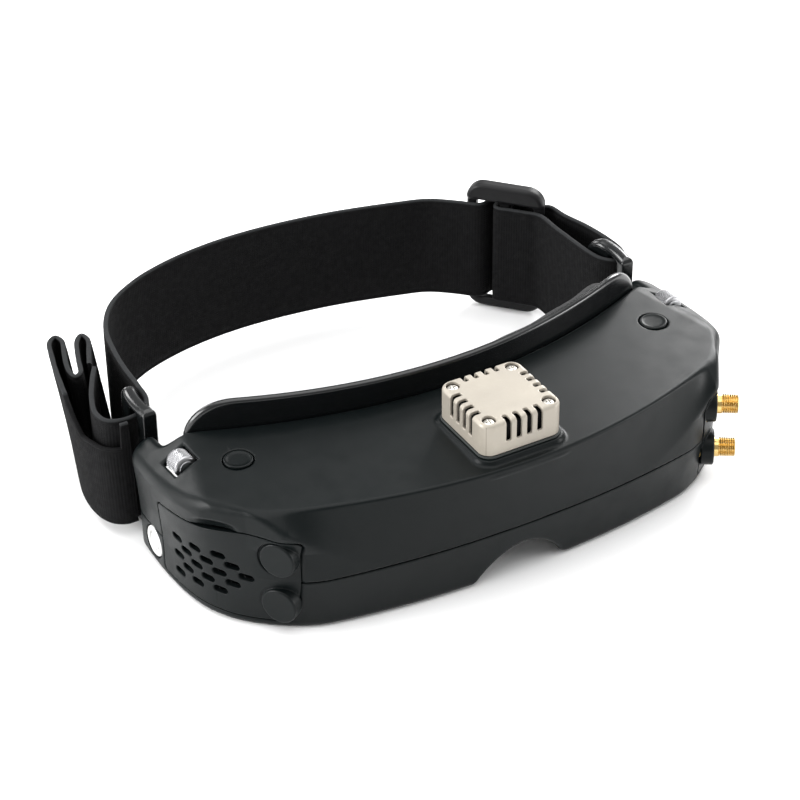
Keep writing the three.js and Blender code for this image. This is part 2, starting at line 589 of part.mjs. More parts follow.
// ---- Top buttons, rollers and the power button ----
for (const [name, side] of [["left", -1], ["right", 1]]) {
  const [x, y] = [side * BUTTON_POS[0], BUTTON_POS[1]];
  const cap = rod([x, y, 42.4], [x, y, 44.7], BUTTON_R, 28);
  const stem = rod([x, y, 39.4], [x, y, 43], 1.6, 12);
  add(`${name}_button`, cap.add(stem), CHARCOAL);

  let wheel = rod(wheelAxis(side, -WHEEL_LENGTH / 2), wheelAxis(side, WHEEL_LENGTH / 2), WHEEL_R, 24);
  wheel = wheel.subtract(rod(wheelAxis(side, -6), wheelAxis(side, 6), 1.2, 12));
  add(`${name}_wheel`, wheel, SILVER);
  let bracket = rod(wheelAxis(side, -4.4), wheelAxis(side, 4.4), 0.85, 12);
  for (const end of [-1, 1]) {
    const cheek = rod(wheelAxis(side, end * 3.8), wheelAxis(side, end * 4.4), 2.4, 12);
    bracket = bracket.add(cheek);
  }
  add(`${name}_wheel_axle`, bracket, STEEL);
}
const powerCap = rod([-95.3, POWER_POS[1], POWER_POS[2]], [-92.6, POWER_POS[1], POWER_POS[2]], 5.1, 28);
const powerStem = rod([-93, POWER_POS[1], POWER_POS[2]], [-89.4, POWER_POS[1], POWER_POS[2]], 1.6, 12);
const powerGroove = rod([-96, POWER_POS[1], POWER_POS[2]], [-95, POWER_POS[1], POWER_POS[2]], 3.4, 24)
  .subtract(rod([-96, POWER_POS[1], POWER_POS[2]], [-94, POWER_POS[1], POWER_POS[2]], 2.7, 24));
add("power_button", powerCap.add(powerStem).subtract(powerGroove), WHITE_PLASTIC);

// ---- Optics: a carriage on a rail for each eye, each with a display, a lens and a focus ring ----
const RAIL_Y = 17;
const RAIL_Z = 6;
for (const [name, side] of [["left", -1], ["right", 1]]) {
  const x = side * EYE_X;
  add(`${name}_rail`, rod([side * 20, RAIL_Y, RAIL_Z], [side * 50, RAIL_Y, RAIL_Z], 1.5, 12), STEEL);
  const tube = rod([x, 5, EYE_Z], [x, 27, EYE_Z], 14.6, 24);
  const foot = box([x - 6, 13, 3.6], [x + 6, 21, 13]);
  let carriage = tube.add(foot).subtract(rod([x, 6.6, EYE_Z], [x, 28, EYE_Z], 13, 24));
  carriage = carriage.subtract(rod([x - 10, RAIL_Y, RAIL_Z], [x + 10, RAIL_Y, RAIL_Z], 1.8, 16));
  carriage = carriage.subtract(box([x - 8.2, 3, EYE_Z - 6.4], [x + 8.2, 8, EYE_Z + 6.4]));
  add(`${name}_eye_carriage`, carriage, BLACK_PLASTIC);
  add(`${name}_display`, box([x - 7.8, 5.2, EYE_Z - 6], [x + 7.8, 7.6, EYE_Z + 6]), SCREEN);
  const profile = [[0, -2.8], [7, -2.2], [12.4, -0.8], [12.4, 0.8], [7, 2.6], [0, 3.4]];
  const lens = new THREE.LatheGeometry(profile.map(([r, h]) => new THREE.Vector2(r, h)), 20);
  add(`${name}_lens`, solid(lens, at(x, 21, EYE_Z)), GLASS);
  const ring = rod([x, 27.3, EYE_Z], [x, 32.6, EYE_Z], 15, 24);
  add(`${name}_focus_ring`, ring.subtract(rod([x, 26, EYE_Z], [x, 34, EYE_Z], 13, 24)), BLACK_PLASTIC);
  const tab = box([x - KNOB_HALF[0], 17 - KNOB_HALF[1], 0.4], [x + KNOB_HALF[0], 17 + KNOB_HALF[1], 3.3]);
  add(`${name}_ipd_knob`, tab, BLACK_PLASTIC);
}
add("main_board", box([-54, -2.6, 15.6], [54, -1, 38]), BOARD);

// ---- Ports and shell screws ----
function roundJack(z, radius, bore) {
  const body = rod([84, PORT_Y, z], [94.8, PORT_Y, z], radius, 24);
  return body.subtract(rod([87, PORT_Y, z], [96, PORT_Y, z], bore, 20));
}
add("dc_jack", roundJack(DC_Z, 3.9, 2.7), BLACK_PLASTIC);
add("audio_jack", roundJack(AUDIO_Z, 2.9, 1.75), BLACK_PLASTIC);
const videoBody = box([84, PORT_Y - 2, VIDEO_Z - 5.6], [94.8, PORT_Y + 2, VIDEO_Z + 5.6]);
const videoMouth = box([87, PORT_Y - 1.5, VIDEO_Z - 5.1], [96, PORT_Y + 1.5, VIDEO_Z + 5.1]);
add("video_port", videoBody.subtract(videoMouth), STEEL);
SCREW_SPOTS.forEach(([x, y], i) => {
  const head = shellScrew(x, y, 2.3, 0.3, 1.2).add(shellScrew(x, y, 1.1, 0.8, 6));
  const slots = box([x - 1.2, y - 0.25, -1], [x + 1.2, y + 0.25, 0.7]);
  add(`shell_screw_${i + 1}`, head.subtract(slots), STEEL);
});

// ---- Strap: one band from the slider round both arms, a slider and the folded tail ----
const spline = (points, steps) => new THREE.CatmullRomCurve3(
  points.map(([x, y]) => new THREE.Vector3(x, y, 0)), false, "centripetal")
  .getPoints(steps).map((p) => [p.x, p.y]);
const SLIDER_CENTRE = [75.3, 122.7];
const SLIDER_ANGLE = Math.atan2(-0.75, 0.66);
const SLIDER_HALF = [14, 24.9];
const SLIDER_Z = 25.1;
const SLIDER_T = 3.4;
const SLIDER_WINDOW = [2, 10.4, 19.7]; // near edge, far edge, half height
const WINDOW_Z = (STRAP_Z[0] + STRAP_Z[1]) / 2;

// A plan point u along the slider and w out from its middle plane.
function onSlider(u, w) {
  const [along, out] = [Math.cos(SLIDER_ANGLE), Math.sin(SLIDER_ANGLE)];
  return [SLIDER_CENTRE[0] + u * along - w * out, SLIDER_CENTRE[1] + u * out + w * along];
}

// The end is sewn round the slider's middle bar; the band runs to the right arm, back over the slider,
// round the head and through the left arm.
const SEWN_END = [[1.8, 2.9], [0, 3], [-1.7, 3.1], [-2.9, 2.5], [-3.3, 1.2], [-3.3, -1.2], [-2.9, -2.5],
  [-1.7, -3.1], [2, -3], [8, -3], [13, -3.3]];
const RIGHT_LOOP = [[81.8, 100], [82.2, 90], [82.8, 81], [84.2, 75.6], [87.8, 72.3], [91.4, 73.6], [93, 78],
  [93, 86], [91.4, 97], [89, 106]];
const OVER_SLIDER = [[15, 3.5], [12.2, 3], [9, 3.4], [6, 4.4], [3, 5], [0, 5.1], [-2.8, 4.9], [-5, 3.8],
  [-6.3, 2], [-7, 0], [-8.2, -1.8], [-10.2, -2.8], [-12.4, -3], [-16, -3.2], [-27, -5.2]];
const HEAD_ROUTE = [[43.5, 143], [18, 149.2], [-7, 152], [-25, 151.6], [-42, 148.6], [-57, 143], [-69.6, 134],
  [-77.2, 122], [-80.6, 108], [-82, 96], [-82.4, 86], [-83.6, 77], [-87.8, 72.2], [-94, 71], [-98.6, 73],
  [-100, 78], [-98, 86], [-93.4, 96], [-90, 102]];
const BAND_ROUTE = [...SEWN_END.map((spot) => onSlider(...spot)), ...RIGHT_LOOP,
  ...OVER_SLIDER.map((spot) => onSlider(...spot)), ...HEAD_ROUTE];
add("strap_band", prism(ribbonOutline(spline(BAND_ROUTE, 150), STRAP_T), ...STRAP_Z), WEBBING);
const TAIL_ROUTE = [[-88.4, 104.6], [-85.4, 111], [-82.6, 118.4], [-83.4, 121.4], [-86, 119], [-90, 109],
  [-93, 101.6], [-95.2, 100.4], [-95.6, 103.6], [-92.6, 114], [-90.2, 121.6], [-91.2, 124.6], [-94, 122.6],
  [-97, 113], [-100.4, 101], [-103.2, 90], [-103.4, 79], [-101.6, 72]];
add("strap_tail", prism(ribbonOutline(spline(TAIL_ROUTE, 64), STRAP_T), ...STRAP_Z), WEBBING);

function strapSlider() {
  const frame = prism(roundedSquareXZ(...SLIDER_HALF, 6), -SLIDER_T / 2, SLIDER_T / 2);
  const [near, far, high] = SLIDER_WINDOW;
  const [bottom, ceiling] = [WINDOW_Z - SLIDER_Z - high, WINDOW_Z - SLIDER_Z + high];
  const hole = (low, top) => prism([[low, bottom], [top, bottom], [top, ceiling], [low, ceiling]], -4, 4);
  const cut = frame.subtract(hole(-far, -near)).subtract(hole(near, far));
  const stand = new THREE.Matrix4().makeRotationX(Math.PI / 2);
  const turn = new THREE.Matrix4().makeRotationZ(SLIDER_ANGLE);
  turn.setPosition(...SLIDER_CENTRE, SLIDER_Z);
  return cut.transform([...turn.multiply(stand).elements]);
}

function roundedSquareXZ(halfX, halfY, radius) {
  return [
    ...corner([0, -halfY], [halfX, -halfY], [halfX, 0], radius),
    ...corner([halfX, 0], [halfX, halfY], [0, halfY], radius),
    ...corner([0, halfY], [-halfX, halfY], [-halfX, 0], radius),
    ...corner([-halfX, 0], [-halfX, -halfY], [0, -halfY], radius),
  ];
}
add("strap_slider", strapSlider(), BLACK_PLASTIC);

// The origin is on the base plane under the middle of the whole object.
const bounds = new THREE.Box3().setFromObject(goggles, true);
const middle = bounds.getCenter(new THREE.Vector3());
goggles.position.set(-middle.x, -middle.y, 0);

export default goggles;
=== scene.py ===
"""Head-worn video goggles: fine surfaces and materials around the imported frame.

Shapes are worked out in millimetres in the goggles' own frame (x = 0 is the middle of the body,
-Y is the front, z = 0 is the base) and moved into the row frame in metres when a mesh is made.
Moulded parts are distance fields turned into meshes; turned parts are lathed; webbing is swept.
"""

import math

import bmesh
import bpy
import numpy as np
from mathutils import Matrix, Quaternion, Vector


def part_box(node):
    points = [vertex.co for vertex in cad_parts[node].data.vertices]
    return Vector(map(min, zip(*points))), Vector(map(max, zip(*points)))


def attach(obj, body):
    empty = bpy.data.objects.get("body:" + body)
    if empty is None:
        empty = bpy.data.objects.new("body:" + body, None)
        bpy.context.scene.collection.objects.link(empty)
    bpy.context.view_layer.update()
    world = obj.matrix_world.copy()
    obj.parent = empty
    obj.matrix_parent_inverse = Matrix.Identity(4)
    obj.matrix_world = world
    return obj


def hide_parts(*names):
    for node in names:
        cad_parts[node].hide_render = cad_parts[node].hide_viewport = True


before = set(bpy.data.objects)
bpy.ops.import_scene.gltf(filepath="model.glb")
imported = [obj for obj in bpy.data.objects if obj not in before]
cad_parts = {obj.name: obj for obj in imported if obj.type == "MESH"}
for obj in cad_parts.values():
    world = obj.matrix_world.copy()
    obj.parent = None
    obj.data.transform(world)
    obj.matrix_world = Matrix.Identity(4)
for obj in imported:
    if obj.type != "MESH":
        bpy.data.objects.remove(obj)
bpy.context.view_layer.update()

# ---- Driving dimensions, in millimetres ----
WALL = 2.4
BODY_TOP = 45.4
CROWN_DROP = 2.0
CROWN_X = 75.0
TOP_RISE = 0.03
FRONT_Y = -12.0
FRONT_SWEEP = 5.5
FRONT_SWEEP_X = 60.0
FRONT_SWEEP_POWER = 2.2
CREASE_Y = -14.0
CREASE_SWEEP = 11.0
CREASE_POWER = 1.944
LOWER_LEAN = 3.0
SHOULDER_X = (38.0, 72.7)
SHOULDER_Z = (20.3, 36.0)
SHOULDER_POWER = 1.8
PANEL_FRONT_X = 71.4
PANEL_BACK_Y = 44
PANEL_SLOPE = 0.17
CORNER_BACK = (86.6, 13.4)
SIDE_BACK = (95.0, 46.0)
SIDE_ROUTE = ((74, -6.3), (80, 2.7), (85, 10.2), (88.6, 15.8), (91.3, 20.8), (93.0, 25.8), (94.2, 31.5),
              (95.0, 38.5), (95.4, 46), (95.2, 60))
REAR_Y = 65.0
REAR_X = 95.0
END_BLOCK_X = 87.0
SEAM_Z = 20.0
SEAM_SLOPE = 0.09
PLATE_Y = 32.0
PLATE_SWEEP = 20.0
PLATE_SWEEP_X = 80.0
PLATE_T = 2.6
PLATE_HALF = 82.0
PLATE_TOP = 54.5
PLATE_CORNER = 14.5
EYE_X = 32.0
EYE_Z = 25.0
FAN_Y = 4.3
FAN_SIDE = 27.6
FAN_TOP = 58.6
FAN_COVER_H = 11.0
FAN_SCREW_AT = 10.4
BUTTON_POS = (74.5, 31.5)
BUTTON_R = 4.5
BUTTON_TOP = 44.7
WHEEL_POS = (87.9, 43, 40.8)
WHEEL_R = 3.7
WHEEL_LENGTH = 7.0
FACET_TOP = 46.0
FACET_SLOPE = 0.556
FACET_FALL = 0.102
WHEEL_TILT = math.atan(FACET_FALL)
KNURL_TEETH = 26
KNURL_PITCH = 0.97
KNURL_DEPTH = 0.5
CORNER_NORMAL = math.radians(33.5)
JACK_POS = (78.6, 0.6)
JACK_Z = (29.3, 12.6)
COVER_BOSS_Z = (28.1, 11.2)
BOSS_R = 5.85
NOSE_HALF = 16.0
NOSE_HIGH = 12.0
POWER_POS = (95.0, 51.5, 8.6)
PORT_Y = 49.8
DC_Z = 8.4
AUDIO_Z = 18.6
VIDEO_Z = 28.6
STRAP_Z = (4.5, 42.6)
STRAP_T = 1.6
STRAP_W = STRAP_Z[1] - STRAP_Z[0]
STRAP_MIDDLE = sum(STRAP_Z) / 2
RIB_PITCH = 0.9
IPD_TRAVEL = 3.25
KNOB_HALF = (4.5, 2.6)
RAIL_Y = 17.0
GAP = 0.3
SIDE_LEAN = 1.8

# The goggles' own frame, placed from the fan cover, which is centred on x = 0 and y = FAN_Y.
cover_low, cover_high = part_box("fan_cover")
ORIGIN = np.array([
    (cover_low.x + cover_high.x) * 500,
    (cover_low.y + cover_high.y) * 500 - FAN_Y,
    cover_low.z * 1000 - (FAN_TOP - FAN_COVER_H),
])


def to_row(points):
    """Millimetres in the goggles' own frame to metres in the row frame."""
    return (np.asarray(points, float) + ORIGIN) / 1000


# ---- Distance-field tools ----
def lattice(low, high, step):
    """Coordinates of a regular grid, as three arrays that broadcast."""
    counts = [int(math.ceil((b - a) / step)) + 1 for a, b in zip(low, high)]
    lines = [a + step * np.arange(n) for a, n in zip(low, counts)]
    x, y, z = (line.astype(np.float32) for line in lines)
    return x[:, None, None], y[None, :, None], z[None, None, :]


def both(a, b):
    """Inside both shapes, with a sharp edge."""
    return np.maximum(a, b)


def both_round(a, b, radius):
    """Inside both shapes, with the edge between them rounded."""
    over = np.hypot(np.maximum(a + radius, 0), np.maximum(b + radius, 0))
    return np.minimum(np.maximum(a, b), -radius) + over


def join_round(a, b, radius):
    """Inside either shape, with the inner corner filled to a radius."""
    return -both_round(-a, -b, radius)


def without(a, b, radius=0.0):
    """Inside a and outside b, with the rim rounded."""
    return both_round(a, -b, radius) if radius else np.maximum(a, -b)


def turned_box(u, v, half_u, half_v, radius):
    """Distance to a rounded rectangle centred on u = 0, v = 0."""
    du = np.abs(u) - half_u + radius
    dv = np.abs(v) - half_v + radius
    outside = np.hypot(np.maximum(du, 0), np.maximum(dv, 0))
    return outside + np.minimum(np.maximum(du, dv), 0) - radius


def slab(w, low, high):
    """Distance to the layer between low and high."""
    return np.maximum(low - w, w - high)


def rod(x, y, z, a, b, radius, rim=0.0):
    """Distance to a flat-ended rod from a to b."""
    a, b = np.array(a, float), np.array(b, float)
    d = b - a
    length = np.linalg.norm(d)
    d /= length
    s = (x - a[0]) * d[0] + (y - a[1]) * d[1] + (z - a[2]) * d[2]
    r2 = (x - a[0]) ** 2 + (y - a[1]) ** 2 + (z - a[2]) ** 2 - s ** 2
    radial = np.sqrt(np.maximum(r2, 0)) - radius
    ends = np.abs(s - length / 2) - length / 2
    return both_round(radial, ends, rim) if rim else np.maximum(radial, ends)


def block(x, y, z, low, high, radius=0.0):
    """Distance to a box with rounded edges."""
    gaps = [np.abs(w - (a + b) / 2) - (b - a) / 2 + radius for w, a, b in zip((x, y, z), low, high)]
    outside = np.sqrt(sum(np.maximum(g, 0) ** 2 for g in gaps))
    return outside + np.minimum(np.maximum(np.maximum(gaps[0], gaps[1]), gaps[2]), 0) - radius


def polygon_distance(points, x, y):
    """Signed distance from a 2-D grid to a closed outline."""
    px, py = np.broadcast_arrays(x, y)
    best = np.full(px.shape, 1e9, np.float32)
    inside = np.zeros(px.shape, bool)
    for (ax, ay), (bx, by) in zip(points, np.roll(points, -1, axis=0)):
        ex, ey = bx - ax, by - ay
        t = np.clip(((px - ax) * ex + (py - ay) * ey) / max(ex * ex + ey * ey, 1e-9), 0, 1)
        best = np.minimum(best, (px - ax - t * ex) ** 2 + (py - ay - t * ey) ** 2)
        if ay != by:
            crosses = (ay <= py) != (by <= py)
            inside ^= crosses & (px < ax + (py - ay) * ex / ey)
    return np.where(inside, -1, 1) * np.sqrt(best)


class Outline:
    """A 2-D outline's distance, kept as a table and softened at its corners."""

    def __init__(self, points, soften, step=0.5, margin=12.0):
        points = np.array(points, float)
        self.low = points.min(0) - margin
        self.step = step
        size = np.ceil((points.max(0) + margin - self.low) / step).astype(int) + 1
        u = self.low[0] + step * np.arange(size[0])
        v = self.low[1] + step * np.arange(size[1])
        table = polygon_distance(points, u[:, None], v[None, :])
        for _ in range(int(round(2 * (soften / step) ** 2))):
            for axis in (0, 1):
                wide = np.concatenate([table.take([0], axis), table, table.take([-1], axis)], axis)
                n = table.shape[axis]
                table = (wide.take(range(n), axis) + 2 * table + wide.take(range(2, n + 2), axis)) / 4
        self.table = table.astype(np.float32)

    def __call__(self, u, v):
        n, m = self.table.shape
        fu = np.clip((u - self.low[0]) / self.step, 0, n - 1.001)
        fv = np.clip((v - self.low[1]) / self.step, 0, m - 1.001)
        iu, iv = fu.astype(np.int32), fv.astype(np.int32)
        fu, fv = fu - iu, fv - iv
        near = self.table[iu, iv] * (1 - fv) + self.table[iu, iv + 1] * fv
        far = self.table[iu + 1, iv] * (1 - fv) + self.table[iu + 1, iv + 1] * fv
        return near * (1 - fu) + far * fu


def look_up(field, points, low, step):
    """The field between its grid points."""
    f = (points - low) / step
    limit = np.array(field.shape) - 1.001
    f = np.clip(f, 0, limit)
    i = f.astype(np.int64)
    f = f - i
    total = 0
    for dx in (0, 1):
        for dy in (0, 1):
            for dz in (0, 1):
                weight = (np.where(dx, f[:, 0], 1 - f[:, 0]) * np.where(dy, f[:, 1], 1 - f[:, 1])
                          * np.where(dz, f[:, 2], 1 - f[:, 2]))
                total = total + weight * field[i[:, 0] + dx, i[:, 1] + dy, i[:, 2] + dz]
    return total


def slope_of(field, points, low, step):
    """The field's gradient, which is the surface's normal."""
    parts = []
    for axis in range(3):
        shift = np.zeros(3)
        shift[axis] = step * 0.5
        parts.append(look_up(field, points + shift, low, step) - look_up(field, points - shift, low, step))
    g = np.stack(parts, 1) / step
    return g / np.maximum(np.linalg.norm(g, axis=1, keepdims=True), 1e-6)


def surface_net(field, low, step):
    """Corner points and four-sided faces of the surface where the field is zero."""
    field = field.copy()
    for axis in range(3):
        edge = [slice(None)] * 3
        for end in (0, -1):
            edge[axis] = end
            field[tuple(edge)] = np.maximum(field[tuple(edge)], step * 0.5)
    inside = field < 0
    n = np.array(field.shape) - 1
    corners = [(i, j, k) for i in (0, 1) for j in (0, 1) for k in (0, 1)]
    count = np.zeros(n, np.uint8)
    for i, j, k in corners:
        count += inside[i:i + n[0], j:j + n[1], k:k + n[2]]
    cells = np.argwhere((count > 0) & (count < 8))
    number = np.full(n, -1, np.int32)
    number[tuple(cells.T)] = np.arange(len(cells))
    total = np.zeros((len(cells), 3))
    hits = np.zeros(len(cells))
    for a in corners:
        for axis in range(3):
            if a[axis]:
                continue
            b = tuple(v + (1 if w == axis else 0) for w, v in enumerate(a))
            va = field[tuple((cells + a).T)].astype(float)
            vb = field[tuple((cells + b).T)].astype(float)
            cross = (va < 0) != (vb < 0)
            t = np.where(cross, va / np.where(cross, va - vb, 1), 0)
            point = np.array(a, float) + t[:, None] * np.eye(3)[axis]
            total += point * cross[:, None]
            hits += cross
    points = low + step * (cells + total / hits[:, None])
    faces = []
    for axis in range(3):
        u, v = [w for w in range(3) if w != axis]
        here = [slice(1, -1)] * 3
        here[axis] = slice(0, -1)
        there = list(here)
        there[axis] = slice(1, None)
        first, second = inside[tuple(here)], inside[tuple(there)]
        at = np.argwhere(first != second)
        solid_first = first[tuple(at.T)]
        offset = np.ones(3, int)
        offset[axis] = 0
        at = at + offset
        eu, ev = np.eye(3, dtype=int)[u], np.eye(3, dtype=int)[v]
        quad = np.stack([number[tuple((at - d).T)] for d in (eu + ev, ev, 0 * eu, eu)], 1)
        flip = solid_first if axis != 1 else ~solid_first
        faces.append(np.where(flip[:, None], quad, quad[:, ::-1]))
    return points, np.concatenate(faces)


# ---- Mesh tools ----
def new_object(name, points, faces, smooth=True):
    """A mesh object from points in millimetres in the goggles' own frame."""
    mesh = bpy.data.meshes.new(name)
    mesh.from_pydata(to_row(points).tolist(), [], [tuple(int(i) for i in f) for f in faces])
    mesh.validate()
    if smooth:
        mesh.polygons.foreach_set("use_smooth", [True] * len(mesh.polygons))
    obj = bpy.data.objects.new(name, mesh)
    bpy.context.scene.collection.objects.link(obj)
    return obj


def finish_piece(obj, material, slot, body, *nodes):
    """Gives a piece its material, hides the nodes it stands for and attaches it to the body it moves with.
    The slot argument is not used.
    """
    obj.data.materials.clear()
    obj.data.materials.append(material)
    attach(obj, body)
    if nodes:
        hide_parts(*nodes)
    return obj


def thin_out(obj, share):
    """Collapses edges where the surface is flat."""
    modifier = obj.modifiers.new("thin", "DECIMATE")
    modifier.ratio = share
    shown = obj.evaluated_get(bpy.context.evaluated_depsgraph_get())
    mesh = bpy.data.meshes.new_from_object(shown)
    obj.modifiers.clear()
    old = obj.data
    obj.data = mesh
    mesh.name = obj.name
    bpy.data.meshes.remove(old)


def moulded(name, shape, low, high, step, share=0.35):
    """A mesh of a distance field shape(x, y, z), with normals taken from the field."""
    low = np.array(low, float)
    x, y, z = lattice(low, high, step)
    full = np.broadcast_to(shape(x, y, z), (x.shape[0], y.shape[1], z.shape[2])).astype(np.float32)
    points, faces = surface_net(full, low, step)
    normals = slope_of(full, points, low, step)
    points = points - np.clip(look_up(full, points, low, step), -step / 3, step / 3)[:, None] * normals
    obj = new_object(name, points, faces)
    if share < 1:
        thin_out(obj, share)
    mesh = obj.data
    at = np.zeros(len(mesh.vertices) * 3)
    mesh.vertices.foreach_get("co", at)
    at = at.reshape(-1, 3) * 1000 - ORIGIN
    mesh.polygons.foreach_set("use_smooth", [True] * len(mesh.polygons))
    mesh.normals_split_custom_set_from_vertices(slope_of(full, at, low, step).tolist())
    return obj


def lathed(name, profile, a, axis, sides=64, wobble=None):
    """A closed turned shape: profile rows are (radius, height) along the axis from a."""
    axis = np.array(axis, float) / np.linalg.norm(axis)
    helper = np.array([0.0, 0.0, 1.0]) if abs(axis[2]) < 0.9 else np.array([1.0, 0.0, 0.0])
    u = np.cross(helper, axis)
    u /= np.linalg.norm(u)
    v = np.cross(axis, u)
    turn = 2 * math.pi * np.arange(sides) / sides
    rows = []
    for index, (radius, height) in enumerate(profile):
        r = np.full(sides, float(radius))
        if wobble is not None and radius > 0:
            r = r + wobble(index, turn, height)
        ring = (np.array(a, float) + axis * height
                + r[:, None] * (np.cos(turn)[:, None] * u + np.sin(turn)[:, None] * v))
        rows.append(ring)
    points = np.concatenate(rows)
    faces = []
    count = len(profile)
    closed = profile[0][0] > 0 and profile[-1][0] > 0
    for k in range(count if closed else count - 1):
        for i in range(sides):
            j = (i + 1) % sides
            k2 = (k + 1) % count
            faces.append((k * sides + i, k * sides + j, k2 * sides + j, k2 * sides + i))
    obj = new_object(name, points, faces)
    tidy_mesh(obj)
    return obj


def tidy_mesh(obj, angle=40.0):
    """Merges doubled points, points faces outwards and keeps hard edges hard."""
    work = bmesh.new()
    work.from_mesh(obj.data)
    bmesh.ops.remove_doubles(work, verts=work.verts, dist=1e-7)
    bmesh.ops.dissolve_degenerate(work, dist=1e-8, edges=work.edges)
    bmesh.ops.recalc_face_normals(work, faces=work.faces)
    for edge in work.edges:
        if len(edge.link_faces) == 2:
            edge.smooth = edge.calc_face_angle(0) < math.radians(angle)
    work.to_mesh(obj.data)
    work.free()
    obj.data.polygons.foreach_set("use_smooth", [True] * len(obj.data.polygons))


def rounded_profile(corners, steps=5):
    """A lathe profile whose corners (radius, height, rounding) are arcs."""
    rows = []
    for i, (r, h, rounding) in enumerate(corners):
        if rounding <= 0 or i in (0, len(corners) - 1):
            rows.append((r, h))
            continue
        here = np.array([r, h], float)
        before = np.array(corners[i - 1][:2], float) - here
        after = np.array(corners[i + 1][:2], float) - here
        before /= np.linalg.norm(before)
        after /= np.linalg.norm(after)
        for k in range(steps + 1):
            t = k / steps
            p = here + before * rounding * (1 - t) ** 2 + after * rounding * t ** 2
            rows.append((float(p[0]), float(p[1])))
    return rows


def smooth_route(points, steps):
    """A centripetal Catmull-Rom curve through plan points, evenly stepped in parameter."""
    p = np.array(points, float)
    ends = [2 * p[0] - p[1], *p, 2 * p[-1] - p[-2]]
    p = np.array(ends)
    route = []
    spans = len(points) - 1
    for s in range(steps + 1):
        at = s / steps * spans
        i = min(int(at), spans - 1)
        t = at - i
        p0, p1, p2, p3 = p[i:i + 4]
        d = [max(np.linalg.norm(b - a) ** 0.5, 1e-4) for a, b in ((p0, p1), (p1, p2), (p2, p3))]
        m1 = (p1 - p0) / d[0] - (p2 - p0) / (d[0] + d[1]) + (p2 - p1) / d[1]
        m2 = (p2 - p1) / d[1] - (p3 - p1) / (d[1] + d[2]) + (p3 - p2) / d[2]
        m1, m2 = m1 * d[1], m2 * d[1]
        route.append((2 * t ** 3 - 3 * t ** 2 + 1) * p1 + (t ** 3 - 2 * t ** 2 + t) * m1
                     + (-2 * t ** 3 + 3 * t ** 2) * p2 + (t ** 3 - t ** 2) * m2)
    return np.array(route)


def evenly(route, spacing):
    """The same route with points at equal spacing along it, and the distance to each."""
    lengths = np.concatenate([[0], np.cumsum(np.linalg.norm(np.diff(route, axis=0), axis=1))])
    n = int(lengths[-1] / spacing) + 1
    s = np.linspace(0, lengths[-1], n)
    return np.stack([np.interp(s, lengths, route[:, k]) for k in range(2)], 1), s


# ---- Materials ----
def material(name, base, rough, metal=0.0):
    """A Principled material; returns it with its tree, shader and object coordinates."""
    made = bpy.data.materials.new(name)
    made.use_nodes = True
    tree = made.node_tree
    shader = tree.nodes["Principled BSDF"]
    shader.inputs["Base Color"].default_value = (*base, 1)
    shader.inputs["Roughness"].default_value = rough
    shader.inputs["Metallic"].default_value = metal
    place = tree.nodes.new("ShaderNodeTexCoord")
    return made, tree, shader, place.outputs["Object"]


def noise(tree, where, scale, detail=2.0, rough=0.5):
    node = tree.nodes.new("ShaderNodeTexNoise")
    node.inputs["Scale"].default_value = scale
    node.inputs["Detail"].default_value = detail
    node.inputs["Roughness"].default_value = rough
    tree.links.new(where, node.inputs["Vector"])
    return node.outputs["Fac"]


def spread(tree, value, low, high, from_low=0.3, from_high=0.7):
    node = tree.nodes.new("ShaderNodeMapRange")
    node.inputs["From Min"].default_value = from_low
    node.inputs["From Max"].default_value = from_high
    node.inputs["To Min"].default_value = low
    node.inputs["To Max"].default_value = high
    tree.links.new(value, node.inputs["Value"])
    return node.outputs["Result"]


def mix(tree, share, a, b):
    node = tree.nodes.new("ShaderNodeMix")
    node.data_type = "RGBA"
    for socket, value in (("A", a), ("B", b)):
        target = [s for s in node.inputs if s.name == socket and s.type == "RGBA"][0]
        if isinstance(value, tuple):
            target.default_value = (*value, 1)
        else:
            tree.links.new(value, target)
    tree.links.new(share, node.inputs["Factor"])
    return [s for s in node.outputs if s.type == "RGBA"][0]


def bump(tree, shader, height, distance, strength=1.0, under=None):
    node = tree.nodes.new("ShaderNodeBump")
    node.inputs["Strength"].default_value = strength
    node.inputs["Distance"].default_value = distance
    tree.links.new(height, node.inputs["Height"])
    if under is not None:
        tree.links.new(under, node.inputs["Normal"])
    tree.links.new(node.outputs["Normal"], shader.inputs["Normal"])
    return node.outputs["Normal"]


def maths(tree, operation, *values):
    """A maths node on sockets or plain numbers."""
    node = tree.nodes.new("ShaderNodeMath")
    node.operation = operation
    for socket, value in zip(node.inputs, values):
        if isinstance(value, (int, float)):
            socket.default_value = value
        else:
            tree.links.new(value, socket)
    return node.outputs[0]


def distance_from(tree, value, middle):
    return maths(tree, "ABSOLUTE", maths(tree, "SUBTRACT", value, middle))


def convex_edge_mask(tree):
    """1 along convex edges and 0 on flats, from the mesh's own curvature."""
    node = tree.nodes.new("ShaderNodeNewGeometry")
    return spread(tree, node.outputs["Pointiness"], 0, 1, 0.52, 0.62)


def plastic(name, base, rough, grain, depth, tint=1.25, edge_share=0.0, specular=0.5):
    """Moulded plastic: fine grain, faint mottling in colour and gloss."""
    made, tree, shader, where = material(name, base, rough)
    shader.inputs["Specular IOR Level"].default_value = specular
    broad = noise(tree, where, 45, 3)
    lighter = tuple(min(1, c * tint) for c in base)
    colour = mix(tree, spread(tree, broad, 0, 1), base, lighter)
    # Convex edges are mixed towards a paler tone, by up to the given share.
    if edge_share:
        paler_edge_tone = tuple(min(1, c * 1.6 + 0.01) for c in base)
        colour = mix(tree, spread(tree, convex_edge_mask(tree), 0, edge_share, 0, 1), colour, paler_edge_tone)
    tree.links.new(colour, shader.inputs["Base Color"])
    gloss = spread(tree, noise(tree, where, 160, 3), rough - 0.05, rough + 0.06)
    tree.links.new(gloss, shader.inputs["Roughness"])
    bump(tree, shader, noise(tree, where, grain, 2), depth, 0.5)
    return made


